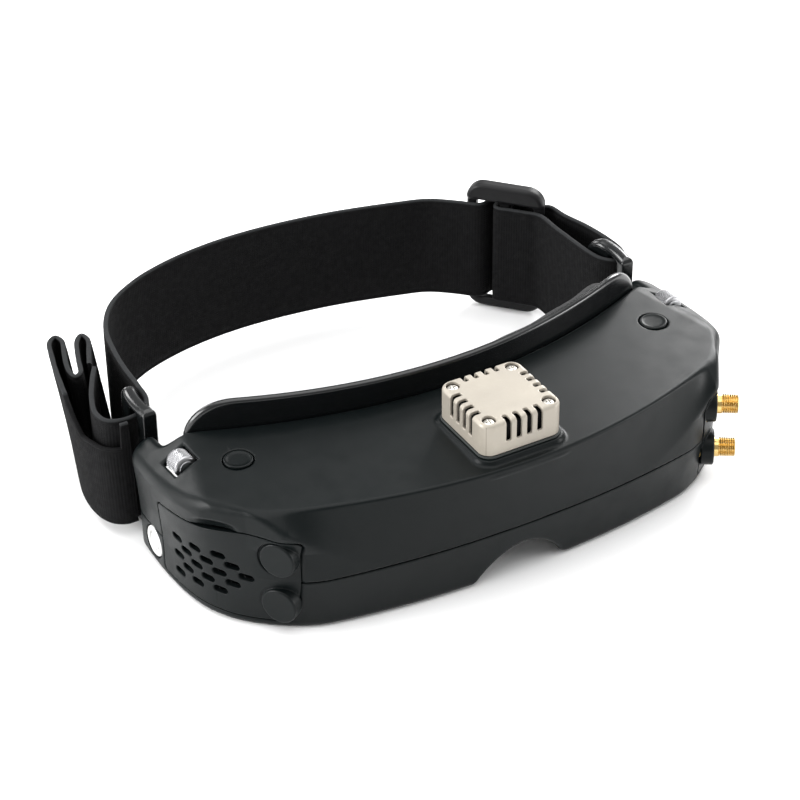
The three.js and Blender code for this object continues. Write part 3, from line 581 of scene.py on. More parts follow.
def metal(name, base, rough, grain, depth):
    """Machined or cast metal with fine marks."""
    made, tree, shader, where = material(name, base, rough, 1.0)
    darker = tuple(c * 0.82 for c in base)
    colour = mix(tree, spread(tree, noise(tree, where, 300, 3), 0, 1), base, darker)
    tree.links.new(colour, shader.inputs["Base Color"])
    gloss = spread(tree, noise(tree, where, 500, 2), rough - 0.06, rough + 0.08)
    tree.links.new(gloss, shader.inputs["Roughness"])
    bump(tree, shader, noise(tree, where, grain, 2), depth, 0.4)
    return made


def champagne():
    """Bead-blasted, anodised cover, with its inner faces under the top painted dark as shade."""
    made, tree, shader, where = material("champagne_anodised", (0.36, 0.325, 0.275), 0.42, 0.25)
    warm = mix(tree, spread(tree, noise(tree, where, 60, 3), 0, 1),
               (0.375, 0.34, 0.285), (0.325, 0.295, 0.25))
    parts = tree.nodes.new("ShaderNodeSeparateXYZ")
    tree.links.new(where, parts.inputs["Vector"])
    beyond = maths(tree, "SUBTRACT", parts.outputs["Z"], cover_high.z - 0.001)
    for output, low, high in (("X", cover_low.x, cover_high.x), ("Y", cover_low.y, cover_high.y)):
        reach = distance_from(tree, parts.outputs[output], (low + high) / 2)
        beyond = maths(tree, "MAXIMUM", beyond, maths(tree, "SUBTRACT", reach, 0.0127))
    # Faces inside the cover's footprint and below its top turn dark brown: painted shade for the dim hollow
    # under the slots.
    painted_shade_inside = spread(tree, beyond, 1, 0, -0.0001, 0.0001)
    tree.links.new(mix(tree, painted_shade_inside, warm, (0.03, 0.022, 0.014)), shader.inputs["Base Color"])
    tree.links.new(spread(tree, noise(tree, where, 900, 2), 0.36, 0.5), shader.inputs["Roughness"])
    bump(tree, shader, noise(tree, where, 4200, 2), 0.00005, 0.5)
    return made


def foam():
    """Open-cell face foam."""
    made, tree, shader, where = material("face_foam", (0.012, 0.012, 0.013), 0.95)
    cells = tree.nodes.new("ShaderNodeTexVoronoi")
    cells.inputs["Scale"].default_value = 1500
    tree.links.new(where, cells.inputs["Vector"])
    tree.links.new(mix(tree, spread(tree, cells.outputs["Distance"], 0, 1, 0.1, 0.6),
                       (0.006, 0.006, 0.006), (0.022, 0.022, 0.023)), shader.inputs["Base Color"])
    tree.links.new(spread(tree, noise(tree, where, 700, 3), 0.88, 0.98), shader.inputs["Roughness"])
    first = bump(tree, shader, cells.outputs["Distance"], 0.0005, 0.8)
    bump(tree, shader, noise(tree, where, 220, 4), 0.0008, 0.5, first)
    return made


def webbing(name, base, edge):
    """Woven elastic: fine ribs across the band, with a paler band along both edges painted as a highlight.
    UV is millimetres along and up.
    """
    made, tree, shader, where = material(name, base, 0.85)
    uv = tree.nodes.new("ShaderNodeUVMap")
    uv.uv_map = "UVMap"
    parts = tree.nodes.new("ShaderNodeSeparateXYZ")
    tree.links.new(uv.outputs["UV"], parts.inputs["Vector"])
    waves = [maths(tree, "SINE", maths(tree, "MULTIPLY", parts.outputs[output], 2 * math.pi / pitch))
             for output, pitch in (("X", RIB_PITCH), ("Y", 0.8))]
    weave = maths(tree, "MULTIPLY", *waves)
    lighter = tuple(c * 1.7 for c in base)
    body = mix(tree, spread(tree, weave, 0, 1, -1, 1), base, lighter)
    fibres = mix(tree, spread(tree, noise(tree, where, 900, 3), 0, 0.6), body, tuple(c * 0.6 for c in base))
    # Near both edges the colour is mixed towards the paler edge colour: a painted highlight where the edge
    # catches light.
    half = STRAP_W / 2
    far = distance_from(tree, parts.outputs["Y"], half)
    painted_edge_highlight = spread(tree, far, 0, 1, half - 0.75, half - 0.35)
    tree.links.new(mix(tree, painted_edge_highlight, fibres, edge), shader.inputs["Base Color"])
    tree.links.new(spread(tree, noise(tree, where, 500, 2), 0.78, 0.95), shader.inputs["Roughness"])
    shader.inputs["Specular IOR Level"].default_value = 0.15
    first = bump(tree, shader, weave, 0.00006, 0.7)
    bump(tree, shader, noise(tree, where, 2600, 2), 0.00008, 0.5, first)
    return made


SHELL = plastic("soft_touch_charcoal", (0.0022, 0.0036, 0.0038), 0.38, 5200, 0.00004, 1.18, 0.3, 0.14)
GLOSS = plastic("gloss_black_plastic", (0.0035, 0.0042, 0.0045), 0.2, 900, 0.000006, 1.2)
CHAMPAGNE = champagne()
RUBBER = plastic("gasket_rubber", (0.012, 0.015, 0.014), 0.7, 2600, 0.00003)
BLACK = plastic("black_moulding", (0.0045, 0.0045, 0.005), 0.45, 2200, 0.00003, specular=0.22)
SCREW = metal("zinc_screw", (0.62, 0.6, 0.56), 0.34, 1800, 0.00002)
STEEL = metal("brushed_steel", (0.55, 0.56, 0.57), 0.3, 1500, 0.00002)
GOLD = metal("gold_plate", (0.7, 0.49, 0.19), 0.24, 1200, 0.00001)
INSULATOR = plastic("white_insulator", (0.78, 0.76, 0.7), 0.45, 1500, 0.00002, 1.05)
BOARD = plastic("circuit_board", (0.012, 0.07, 0.035), 0.4, 700, 0.00004)
WHITE = plastic("white_button", (0.6, 0.6, 0.59), 0.35, 1600, 0.00002, 1.04)
SILVER = metal("satin_silver", (0.4, 0.4, 0.41), 0.36, 1800, 0.00002)
FOAM = foam()
# The last colour is the painted edge highlight.
WEBBING = webbing("black_webbing", (0.0026, 0.0026, 0.0029), (0.02, 0.021, 0.022))


def lens_glass():
    made, tree, shader, where = material("coated_lens", (0.9, 0.93, 0.96), 0.03)
    shader.inputs["Transmission Weight"].default_value = 1.0
    shader.inputs["IOR"].default_value = 1.5
    shader.inputs["Coat Weight"].default_value = 0.6
    shader.inputs["Coat Roughness"].default_value = 0.03
    tree.links.new(spread(tree, noise(tree, where, 200, 2), 0.02, 0.05), shader.inputs["Roughness"])
    tree.links.new(mix(tree, spread(tree, noise(tree, where, 30, 2), 0, 1),
                       (0.88, 0.92, 0.97), (0.93, 0.95, 0.96)), shader.inputs["Base Color"])
    return made


def dark_screen():
    made, tree, shader, where = material("dark_screen", (0.004, 0.005, 0.008), 0.12)
    tree.links.new(mix(tree, spread(tree, noise(tree, where, 80, 2), 0, 1),
                       (0.004, 0.005, 0.008), (0.007, 0.008, 0.012)), shader.inputs["Base Color"])
    bump(tree, shader, noise(tree, where, 1500, 1), 0.000004, 0.3)
    return made


GLASS = lens_glass()
SCREEN = dark_screen()


# ---- Body ----
def front_y(x):
    return FRONT_Y + FRONT_SWEEP * (np.abs(x) / FRONT_SWEEP_X) ** FRONT_SWEEP_POWER


def crease_y(x):
    """Where the front face meets the top surface, seen from above."""
    return CREASE_Y + CREASE_SWEEP * (np.abs(x) / FRONT_SWEEP_X) ** CREASE_POWER


def shoulder_z(x):
    """Height at which the front face starts to lean back."""
    share = np.clip((np.abs(x) - SHOULDER_X[0]) / (SHOULDER_X[1] - SHOULDER_X[0]), 0, 1.08)
    return SHOULDER_Z[0] + (SHOULDER_Z[1] - SHOULDER_Z[0]) * share ** SHOULDER_POWER


def front_at(x, z):
    """The front is tucked in below the seam, upright to the shoulder and leans back to the crease."""
    height = BODY_TOP - CROWN_DROP * (x / CROWN_X) ** 2 - shoulder_z(x)
    slope = (crease_y(x) - front_y(x)) / height
    rise = z - shoulder_z(x)
    above = (rise + np.sqrt(rise * rise + 1.0)) / 2
    below = np.clip(1 - z / SEAM_Z, 0, 1.5)
    return front_y(x) + slope * above + LOWER_LEAN * below


def front_face(x, y, z):
    """Distance to the front face, positive in front of it."""
    here = front_at(x, z)
    across = front_at(x + 0.5, z) - front_at(x - 0.5, z)
    up = front_at(x, z + 0.5) - front_at(x, z - 0.5)
    return (here - y) / np.sqrt(1 + across ** 2 + up ** 2)


def plate_y(x):
    return PLATE_Y + PLATE_SWEEP * (x / PLATE_SWEEP_X) ** 2


def body_outline(rear_y, block_x, open_by):
    """Plan outline of the sides and rear, mirrored about x = 0. The front face is cut separately."""
    side = smooth_route(SIDE_ROUTE, 24)
    right = [(0, -40), (SIDE_ROUTE[0][0] - 50 * math.tan(CORNER_NORMAL), SIDE_ROUTE[0][1] - 50)]
    right += [(float(x), float(y)) for x, y in side if y < rear_y - 6]
    right += [(REAR_X, rear_y - 4), (REAR_X - 1.2, rear_y - 1.2), (REAR_X - 4, rear_y), (block_x, rear_y)]
    right += [(x, float(plate_y(x)) - 0.45 + open_by) for x in np.linspace(block_x, 0, 24)]
    left = [(-x, y) for x, y in right[1:-1]][::-1]
    return right + left


BODY_PLAN = Outline(body_outline(REAR_Y, END_BLOCK_X, 0), 1.1)
CAVITY_PLAN = Outline(body_outline(56 + WALL, 80 + WALL, 6 + WALL), 1.6)


def wall_at(plan, x, y, z, inset=0.0):
    """Distance to the side and front walls, moved inwards by inset. The sides lean out towards the top."""
    lean = SIDE_LEAN * np.clip((z - 14) / 23, 0, 1) ** 1.3 * np.clip((np.abs(x) - 84) / 9, 0, 1)
    x = x - np.sign(x) * lean
    rounding = 1.2 + 7.8 * np.clip((37 - z) / 7, 0, 1) + 3.0 * np.clip((SEAM_Z - z) / SEAM_Z, 0, 1)
    return both_round(plan(x, y) + inset, front_face(x, y, z) + inset, rounding)


def roof(x, y, z):
    crown = BODY_TOP - CROWN_DROP * (x / CROWN_X) ** 2 + TOP_RISE * y
    facet = FACET_TOP - FACET_SLOPE * (np.abs(x) - 80) - FACET_FALL * (y - 50)
    tilt = math.sqrt(1 + FACET_SLOPE ** 2 + FACET_FALL ** 2)
    return both_round(z - crown, (z - facet) / tilt, 1.2)


ARCH_STEPS = np.linspace(-1, 1, 25)
ARCH_POINTS = [(-NOSE_HALF, -9.0)] + [
    (NOSE_HALF * t, NOSE_HIGH * max(0, math.cos(math.pi * t / 2)) ** 0.8) for t in ARCH_STEPS
] + [(NOSE_HALF, -9.0)]
NOSE = Outline(ARCH_POINTS, 1.3, 0.4)


def seam(y, z):
    """Height above the seam surface."""
    return (z - (SEAM_Z - SEAM_SLOPE * 10 - SEAM_SLOPE * y)) / math.sqrt(1 + SEAM_SLOPE ** 2)


def outer_body(x, y, z):
    wall = wall_at(BODY_PLAN, x, y, z)
    rounding = 0.9 + 2.0 * np.clip((np.abs(x) - 78) / 10, 0, 1)
    top = roof(x, y, z)
    shape = both_round(wall, top, rounding)
    shape = both_round(shape, -z, 2.6)
    return both_round(shape, -NOSE(x, z), 1.6)


def body_hollow(x, y, z):
    wall = wall_at(CAVITY_PLAN, x, y, z, WALL)
    hollow = both_round(wall, roof(x, y, z) + WALL, 1.5)
    hollow = both_round(hollow, WALL - z, 1.5)
    return both(hollow, WALL - NOSE(x, z))


def on_corner(side, depth, z):
    """A point above the corner facet, along its outward normal."""
    return (side * (JACK_POS[0] + depth * math.cos(CORNER_NORMAL)),
            JACK_POS[1] - depth * math.sin(CORNER_NORMAL), z)


SIDE_ANGLE = math.atan2(SIDE_BACK[0] - CORNER_BACK[0], SIDE_BACK[1] - CORNER_BACK[1])


def on_side(side, along, depth, z):
    """A point on the swept side wall, by its distance back from the corner facet."""
    x = CORNER_BACK[0] + along * math.sin(SIDE_ANGLE) + depth * math.cos(SIDE_ANGLE)
    return (side * x, CORNER_BACK[1] + along * math.cos(SIDE_ANGLE) - depth * math.sin(SIDE_ANGLE), z)


def on_wheel(side, along):
    return (side * WHEEL_POS[0], WHEEL_POS[1] + along * math.cos(WHEEL_TILT),
            WHEEL_POS[2] - along * math.sin(WHEEL_TILT))


def panel_edge_z(y):
    """Height of the panel's top edge, which drops towards the front corner."""
    return 29 + PANEL_SLOPE * (PANEL_BACK_Y - y) - 2.4 * np.clip((10 - y) / 14, 0, 1.1) ** 1.5


def panel_region(x, y, z, side, grow):
    """The side panel's window: from the corner's front edge to PANEL_BACK_Y."""
    ahead = PANEL_FRONT_X - grow - side * x
    behind = y - PANEL_BACK_Y - grow
    top = (z - panel_edge_z(y)) / math.sqrt(1 + PANEL_SLOPE ** 2) - grow
    bottom = 3.4 - z - grow
    shape = both_round(both_round(behind, top, 1.8), bottom, 1.8)
    shape = both_round(shape, ahead, 2.6)
    inner = (80 - side * x - 0.42 * (18 - y)) / 1.08
    return both(shape, inner)


PLINTH_HALF = FAN_SIDE / 2 + 1.4
PLINTH_TOP = FAN_TOP - FAN_COVER_H - 0.9
WHEEL_RIM = 0.4


def button_well(x, y, z, side):
    return rod(x, y, z, (side * BUTTON_POS[0], BUTTON_POS[1], 38),
               (side * BUTTON_POS[0], BUTTON_POS[1], 52), BUTTON_R + 0.32)


def wheel_well(x, y, z, side):
    return rod(x, y, z, on_wheel(side, -4.7), on_wheel(side, 4.7), WHEEL_R + WHEEL_RIM)


def jack_bore(x, y, z, level):
    return rod(x, y, z, on_corner(1, -14, level), on_corner(1, -1.9, level), 4.6)


def notch(x, y, z):
    """A shallow finger scoop in the shell above the left cover's top edge."""
    u = (y - 18.2) / 7.4
    v = (z - 34.0 + PANEL_SLOPE * (y - 19.4)) / 2.9
    depth = np.maximum(1.5 * (1 - u * u - v * v), -3)
    return both(-(wall_at(BODY_PLAN, x, y, z) + depth) / 1.3, x + 60)


def upper_shell(x, y, z):
    outer = outer_body(x, y, z)
    flare = 2.6 * np.clip((PLINTH_TOP - 0.6 - z) / 3, 0, 1) ** 1.5
    plinth = turned_box(x, y - FAN_Y, PLINTH_HALF, PLINTH_HALF, 4.8) - flare
    plinth = both_round(both_round(plinth, z - PLINTH_TOP, 0.7), 42.5 - z, 0.3)
    outer = join_round(outer, plinth, 0.8)
    shape = without(outer, body_hollow(x, y, z))
    shape = without(shape, rod(x, y, z, (0, FAN_Y, 36), (0, FAN_Y, 60), 12.3), 0.3)
    shape = both_round(shape, GAP / 2 - seam(y, z), 0.3)
    for side in (-1, 1):
        shape = without(shape, panel_region(x, y, z, side, GAP), 0.25)
        shape = without(shape, button_well(x, y, z, side), 0.2)
        shape = without(shape, wheel_well(x, y, z, side), 0.9)
    for level in JACK_Z:
        shape = without(shape, jack_bore(x, y, z, level))
    shape = without(shape, notch(x, y, z), 0.3)
    mouth = block(x, y, z, (82, PORT_Y - 2.3, VIDEO_Z - 5.9), (100, PORT_Y + 2.3, VIDEO_Z + 5.9), 0.8)
    shape = without(shape, mouth, 0.3)
    return without(shape, rod(x, y, z, (82, PORT_Y, AUDIO_Z), (100, PORT_Y, AUDIO_Z), 3.2), 0.3)


SCREW_SPOTS = ((-66, 8), (66, 8), (-50, 34), (50, 34))


def lower_shell(x, y, z):
    shape = without(outer_body(x, y, z), body_hollow(x, y, z))
    shape = both_round(shape, GAP / 2 + seam(y, z), 0.3)
    half_x = KNOB_HALF[0] + IPD_TRAVEL + 0.6
    half_y = KNOB_HALF[1] + 0.5
    for side in (-1, 1):
        shape = without(shape, panel_region(x, y, z, side, GAP), 0.25)
        window = turned_box(x - side * EYE_X, y - RAIL_Y, half_x, half_y, 1.0)
        shape = without(shape, both(window, z - 6), 0.3)
    for level in JACK_Z:
        shape = without(shape, jack_bore(x, y, z, level))
    for sx, sy in SCREW_SPOTS:
        shape = without(shape, rod(x, y, z, (sx, sy, -1), (sx, sy, 1.5), 2.6), 0.3)
        shape = without(shape, rod(x, y, z, (sx, sy, -1), (sx, sy, 6), 1.4))
    shape = without(shape, rod(x, y, z, (-100, *POWER_POS[1:]), (-88, *POWER_POS[1:]), 5.45), 0.4)
    return without(shape, rod(x, y, z, (82, PORT_Y, DC_Z), (100, PORT_Y, DC_Z), 4.2), 0.3)


BODY_STEP = 0.5
finish_piece(moulded("upper_shell_skin", upper_shell, (-98, -17.5, 11), (98, 68, 50), BODY_STEP, 0.35),
             SHELL, "soft_touch_shell", "headset", "upper_shell")
finish_piece(moulded("lower_shell_skin", lower_shell, (-98, -15.5, -1.2), (98, 68, 22.5), BODY_STEP, 0.35),
             SHELL, "soft_touch_shell", "headset", "lower_shell")

# ---- Side panels ----
PANEL_T = 1.9
VENT_COLUMNS = (3, 2, 3, 2, 3, 2, 1)


def panel_skin(x, y, z, side):
    skin = without(outer_body(x, y, z), wall_at(CAVITY_PLAN, x, y, z, PANEL_T))
    return both_round(skin, panel_region(x, y, z, side, 0), 0.3)


def vent_spots():
    for column, count in enumerate(VENT_COLUMNS):
        for k in range(count):
            row = 1 if count == 1 else k + (0.5 if count == 2 else 0)
            along = 22 - column * 4.4
            yield along, 21.6 + 0.14 * (22 - along) - 6.6 * row


def with_bosses(shape, x, y, z, side, levels):
    """A flat round boss for each antenna place, sunk at its rear and proud at its front."""
    for level in levels:
        moat = rod(x, y, z, on_corner(side, -1.0, level), on_corner(side, 7, level), BOSS_R + 0.55)
        boss = rod(x, y, z, on_corner(side, -4.5, level), on_corner(side, -0.2, level), BOSS_R, 0.6)
        shape = np.minimum(without(shape, moat, 0.35), boss)
    return shape


def module_cover(x, y, z):
    shape = panel_skin(x, y, z, -1)
    for along, level in vent_spots():
        centre = on_side(-1, along, 0, level)
        near = (np.abs(y - centre[1]) < 4) & (np.abs(z - level) < 3)
        back = (y - centre[1]) * math.cos(SIDE_ANGLE) - (x - centre[0]) * math.sin(SIDE_ANGLE)
        hole = turned_box(np.abs(back) + 0.3 * np.abs(z - level), z - level, 2.5, 1.15, 0.85)
        shape = np.where(near, without(shape, hole, 0.25), shape)
    return with_bosses(shape, x, y, z, -1, COVER_BOSS_Z)


def receiver_panel(x, y, z):
    shape = panel_skin(x, y, z, 1)
    shape = with_bosses(shape, x, y, z, 1, JACK_Z)
    for level in JACK_Z:
        shape = without(shape, rod(x, y, z, on_corner(1, -8, level), on_corner(1, 6, level), 3.5))
        shape = without(shape, jack_bore(x, y, z, level))
    return shape


PANEL_STEP = 0.3
finish_piece(moulded("module_cover_skin", module_cover, (-97, -9, 2), (-72, 45.5, 39), PANEL_STEP, 0.4),
             SHELL, "soft_touch_shell", "module_cover_body", "module_cover")
finish_piece(moulded("receiver_panel_skin", receiver_panel, (72, -9, 2), (97, 45.5, 39), PANEL_STEP, 0.4),
             SHELL, "soft_touch_shell", "headset", "receiver_panel")

# ---- Antenna jacks ----
THREAD_PITCH = 0.7056
THREAD_DEPTH = 0.36
JACK_R = 3.17


def jack_wobble(turn, height):
    """The thread's depth below the barrel."""
    if not 1.2 < height < 6.45:
        return np.zeros_like(turn)
    phase = (height / THREAD_PITCH - turn / (2 * math.pi)) % 1
    return -THREAD_DEPTH * np.abs(2 * phase - 1)


for name, level in zip(("upper", "lower"), JACK_Z):
    rows = [(3.9, -9), (3.9, -4.4), (3.17, -4.4), (JACK_R, 1.2)]
    rows += [(JACK_R, h) for h in np.arange(1.25, 6.4, THREAD_PITCH / 8)]
    rows += [(JACK_R - 0.3, 6.45), (JACK_R - 0.45, 6.6), (2.6, 6.6), (2.45, 6.45), (2.45, -1),
             (0.4, -1), (0.4, -9)]
    outward = np.array(on_corner(1, 1, 0)) - np.array(on_corner(1, 0, 0))

    def thread(index, turn, height, last=len(rows) - 6):
        return jack_wobble(turn, height) if 4 <= index < last else np.zeros_like(turn)

    jack = lathed(f"{name}_jack_thread", rows, on_corner(1, 0, level), outward, 72, thread)
    finish_piece(jack, GOLD, "gold", "headset", f"{name}_antenna_jack")

    def nut(x, y, z, level=level):
        a = on_corner(1, 0, level)
        u = (x - a[0]) * outward[0] + (y - a[1]) * outward[1]
        v = -(x - a[0]) * outward[1] + (y - a[1]) * outward[0]
        w = z - level
        flats = [np.abs(v * math.cos(t) + w * math.sin(t)) - 3.9 for t in np.radians([0, 60, 120])]
        hexagon = np.maximum(np.maximum(flats[0], flats[1]), flats[2])
        radial = np.sqrt(v * v + w * w)
        layer = np.abs(u + 3.15) - 0.95
        shape = both(hexagon, layer)
        shape = both(shape, (radial - 4.35 + layer * 1.2) / 1.5)
        return without(shape, radial - 3.45, 0.15)

    centre = np.array(on_corner(1, -3.15, level))
    ring = moulded(f"{name}_jack_hex_nut", nut, centre - 5.2, centre + 5.2, 0.18, 0.5)
    finish_piece(ring, GOLD, "gold", "headset", f"{name}_jack_nut")
    core = rounded_profile([(0, -0.7, 0), (2.15, -0.7, 0.1), (2.15, 4.6, 0.3), (0.65, 4.6, 0.15),
                            (0.6, 2.4, 0), (0, 2.4, 0)])
    finish_piece(lathed(f"{name}_jack_core", core, on_corner(1, 0, level), outward, 40),
                 INSULATOR, "insulator", "headset", f"{name}_jack_insulator")

# ---- Face flange, foam and strap arms ----

def face_points(half, low, high, radius, nose_half, nose_high):
    """Rounded face outline in X and Z, with a nose arch in its lower edge."""
    def arc(cx, cz, start):
        return [(cx + radius * math.cos(t), cz + radius * math.sin(t))
                for t in np.linspace(start, start + math.pi / 2, 9)]
    nose = [(nose_half * t, low + (nose_high - low) * max(0, math.cos(math.pi * t / 2)) ** 0.8)
            for t in np.linspace(-1, 1, 25)]
    right = arc(half - radius, low + radius, -math.pi / 2) + arc(half - radius, high - radius, 0)
    left = [(-x, z) for x, z in right][::-1]
    return nose + right + left


PLATE_EDGE = Outline(face_points(PLATE_HALF, 1, PLATE_TOP, PLATE_CORNER, 20, 17), 1.0)


def plate_depth(x, y):
    """Distance behind the flange's front surface."""
    return (y - plate_y(x)) / np.sqrt(1 + (2 * PLATE_SWEEP * x / PLATE_SWEEP_X ** 2) ** 2)


def faceplate(x, y, z):
    depth = plate_depth(x, y)
    thick = PLATE_T / np.sqrt(1 + (2 * PLATE_SWEEP * x / PLATE_SWEEP_X ** 2) ** 2)
    band = np.abs(depth - thick / 2) - thick / 2
    shape = both_round(PLATE_EDGE(x, z), band, 1.1)
    for side in (-1, 1):
        hole = np.hypot(x - side * EYE_X, z - EYE_Z) - 19.5
        shape = without(shape, hole, 1.0)
    return shape


finish_piece(moulded("face_flange", faceplate, (-87, 30, -0.5), (87, 60, 57.5),
                     0.5, 0.45),
             GLOSS, "gloss_black", "headset", "faceplate")

FOAM_OUT = Outline(face_points(PLATE_HALF - 6, 5, PLATE_TOP - 5, PLATE_CORNER - 2, 17, 21), 1.4)
FOAM_IN = Outline(face_points(PLATE_HALF - 19, 14.5, PLATE_TOP - 14, 6, 26, 30), 1.6)


def face_foam(x, y, z):
    depth = plate_depth(x, y) - PLATE_T - GAP
    swell = 0.25 * np.sin(x * 0.31) * np.sin(z * 0.27 + 1)
    band = slab(depth, 0, 6.6 + swell)
    ring = without(FOAM_OUT(x, z), FOAM_IN(x, z), 2.4)
    return both_round(ring, band, 2.6)


pad = moulded("face_foam_pad", face_foam, (-82, 33, 2), (82, 66, 54), 0.8, 0.6)
finish_piece(pad, FOAM, "face_foam", "headset", "face_foam")

ARM_T = 4.7
ARM_PATH = ((87.6, 66.2), (88.2, 71), (88.2, 77), (87.2, 82), (85.9, 85.6))
ARM_SLOT_Y = (69.6, 75)
ARM_TOP = 46.0
ARM_ROUTE = smooth_route(ARM_PATH, 24)


def strap_arm(x, y, z, side):
    best = None
    for (ax, ay), (bx, by) in zip(ARM_ROUTE[:-1], ARM_ROUTE[1:]):
        ex, ey = bx - ax, by - ay
        t = np.clip(((side * x - ax) * ex + (y - ay) * ey) / (ex * ex + ey * ey), 0, 1)
        d = (side * x - ax - t * ex) ** 2 + (y - ay - t * ey) ** 2
        best = d if best is None else np.minimum(best, d)
    across = np.sqrt(best)
    wall = np.maximum(across - ARM_T / 2, ARM_ROUTE[0][1] - 0.9 - y)
    far = y - ARM_ROUTE[-1][1]
    side_view = both_round(both_round(z - ARM_TOP, far, 6.0), -z, 0.2)
    side_view = both_round(side_view, far, 0.2)
    shape = both_round(wall, side_view, 2.1)
    hole = turned_box(y - sum(ARM_SLOT_Y) / 2, z - STRAP_MIDDLE, (ARM_SLOT_Y[1] - ARM_SLOT_Y[0]) / 2,
                      STRAP_W / 2 + 0.6, 1.2)
    return without(shape, hole, 0.9)


for name, side in (("left", -1), ("right", 1)):
    ends = sorted((side * 82.6, side * 91.6))

    def arm_shape(x, y, z, side=side):
        return strap_arm(x, y, z, side)

    arm = moulded(f"{name}_arm_moulding", arm_shape, (ends[0], 64.4, -0.8), (ends[1], 87.5, 47), 0.35, 0.4)
    finish_piece(arm, GLOSS, "gloss_black", "headset", f"{name}_strap_arm")

# ---- Fan cover, gasket and screws ----
COVER_LOW = FAN_TOP - FAN_COVER_H
QUARTERS = ((1, 1), (-1, 1), (-1, -1), (1, -1))


def fan_cover(x, y, z):
    v = y - FAN_Y
    half = FAN_SIDE / 2
    outer = both_round(turned_box(x, v, half, half, 3.8), z - FAN_TOP, 1.5)
    outer = both(outer, COVER_LOW - z)
    inner = both_round(turned_box(x, v, half - 1, half - 1, 2.6), z - FAN_TOP + 1.1, 1.0)
    for sx, sy in QUARTERS:
        post = np.hypot(x - sx * FAN_SCREW_AT, v - sy * FAN_SCREW_AT) - 2.7
        inner = without(inner, post)
    shape = without(outer, inner)
    for k in range(4):
        across = -5.4 + 3.6 * k
        for a, b in ((x, v), (v, x)):
            ring = turned_box(np.abs(b) - half - 1.2, z - FAN_TOP - 1.2, 4.6, 8.6, 1.6)
            cut = both_round(np.abs(a - across) - 0.85, ring, 0.5)
            shape = without(shape, cut, 0.3)
    for sx, sy in QUARTERS:
        reach = np.hypot(x - sx * FAN_SCREW_AT, v - sy * FAN_SCREW_AT)
        shape = without(shape, both(reach - 2.15, FAN_TOP - 1.7 - z), 0.25)
        shape = without(shape, reach - 1.25)
    return shape


half_cover = FAN_SIDE / 2 + 0.6
finish_piece(moulded("fan_cover_casting", fan_cover, (-half_cover, FAN_Y - half_cover, COVER_LOW - 0.6),
                     (half_cover, FAN_Y + half_cover, FAN_TOP + 0.6), 0.2, 0.5),
             CHAMPAGNE, "champagne_metal", "headset", "fan_cover")


def gasket(x, y, z):
    ring = turned_box(x, y - FAN_Y, FAN_SIDE / 2 + 0.5, FAN_SIDE / 2 + 0.5, 4.3)
    ring = both_round(ring, slab(z, PLINTH_TOP + 0.05, COVER_LOW - 0.1), 0.3)
    return without(ring, np.hypot(x, y - FAN_Y) - 12.6)


finish_piece(moulded("fan_gasket_ring", gasket, (-15.2, FAN_Y - 15.2, PLINTH_TOP - 0.5),
                     (15.2, FAN_Y + 15.2, COVER_LOW + 0.5), 0.22, 0.5),
             RUBBER, "gasket_rubber", "headset", "fan_gasket")


def cross_head(centre, top, head_r, head_h, shank_r, shank_low):
    """A pan-head screw pointing down, with a cross recess."""
    cx, cy = centre

    def shape(x, y, z):
        r = np.hypot(x - cx, y - cy)
        dome = np.sqrt(r * r + (z - top + head_r * 2.2) ** 2) - head_r * 2.2
        head = both_round(both(r - head_r, top - head_h - z), dome, 0.2)
        body = np.minimum(head, both(r - shank_r, slab(z, shank_low, top - head_h / 2)))
        deep = top - 0.75 + 0.35 * r
        arms = np.minimum(both(np.abs(x - cx) - 0.24, np.abs(y - cy) - 1.15),
                          both(np.abs(y - cy) - 0.24, np.abs(x - cx) - 1.15))
        return without(body, both(arms, deep - z), 0.08)
    return shape


for i, (sx, sy) in enumerate(QUARTERS):
    spot = (sx * FAN_SCREW_AT, FAN_Y + sy * FAN_SCREW_AT)
    top = FAN_TOP - 0.5
    screw = moulded(f"fan_screw_head_{i + 1}", cross_head(spot, top, 1.78, 1.0, 0.9, COVER_LOW + 0.2),
                    (spot[0] - 2, spot[1] - 2, COVER_LOW - 0.1),
                    (spot[0] + 2, spot[1] + 2, top + 0.3), 0.1, 0.35)
    finish_piece(screw, SCREW, "steel", "headset", f"fan_screw_{i + 1}")

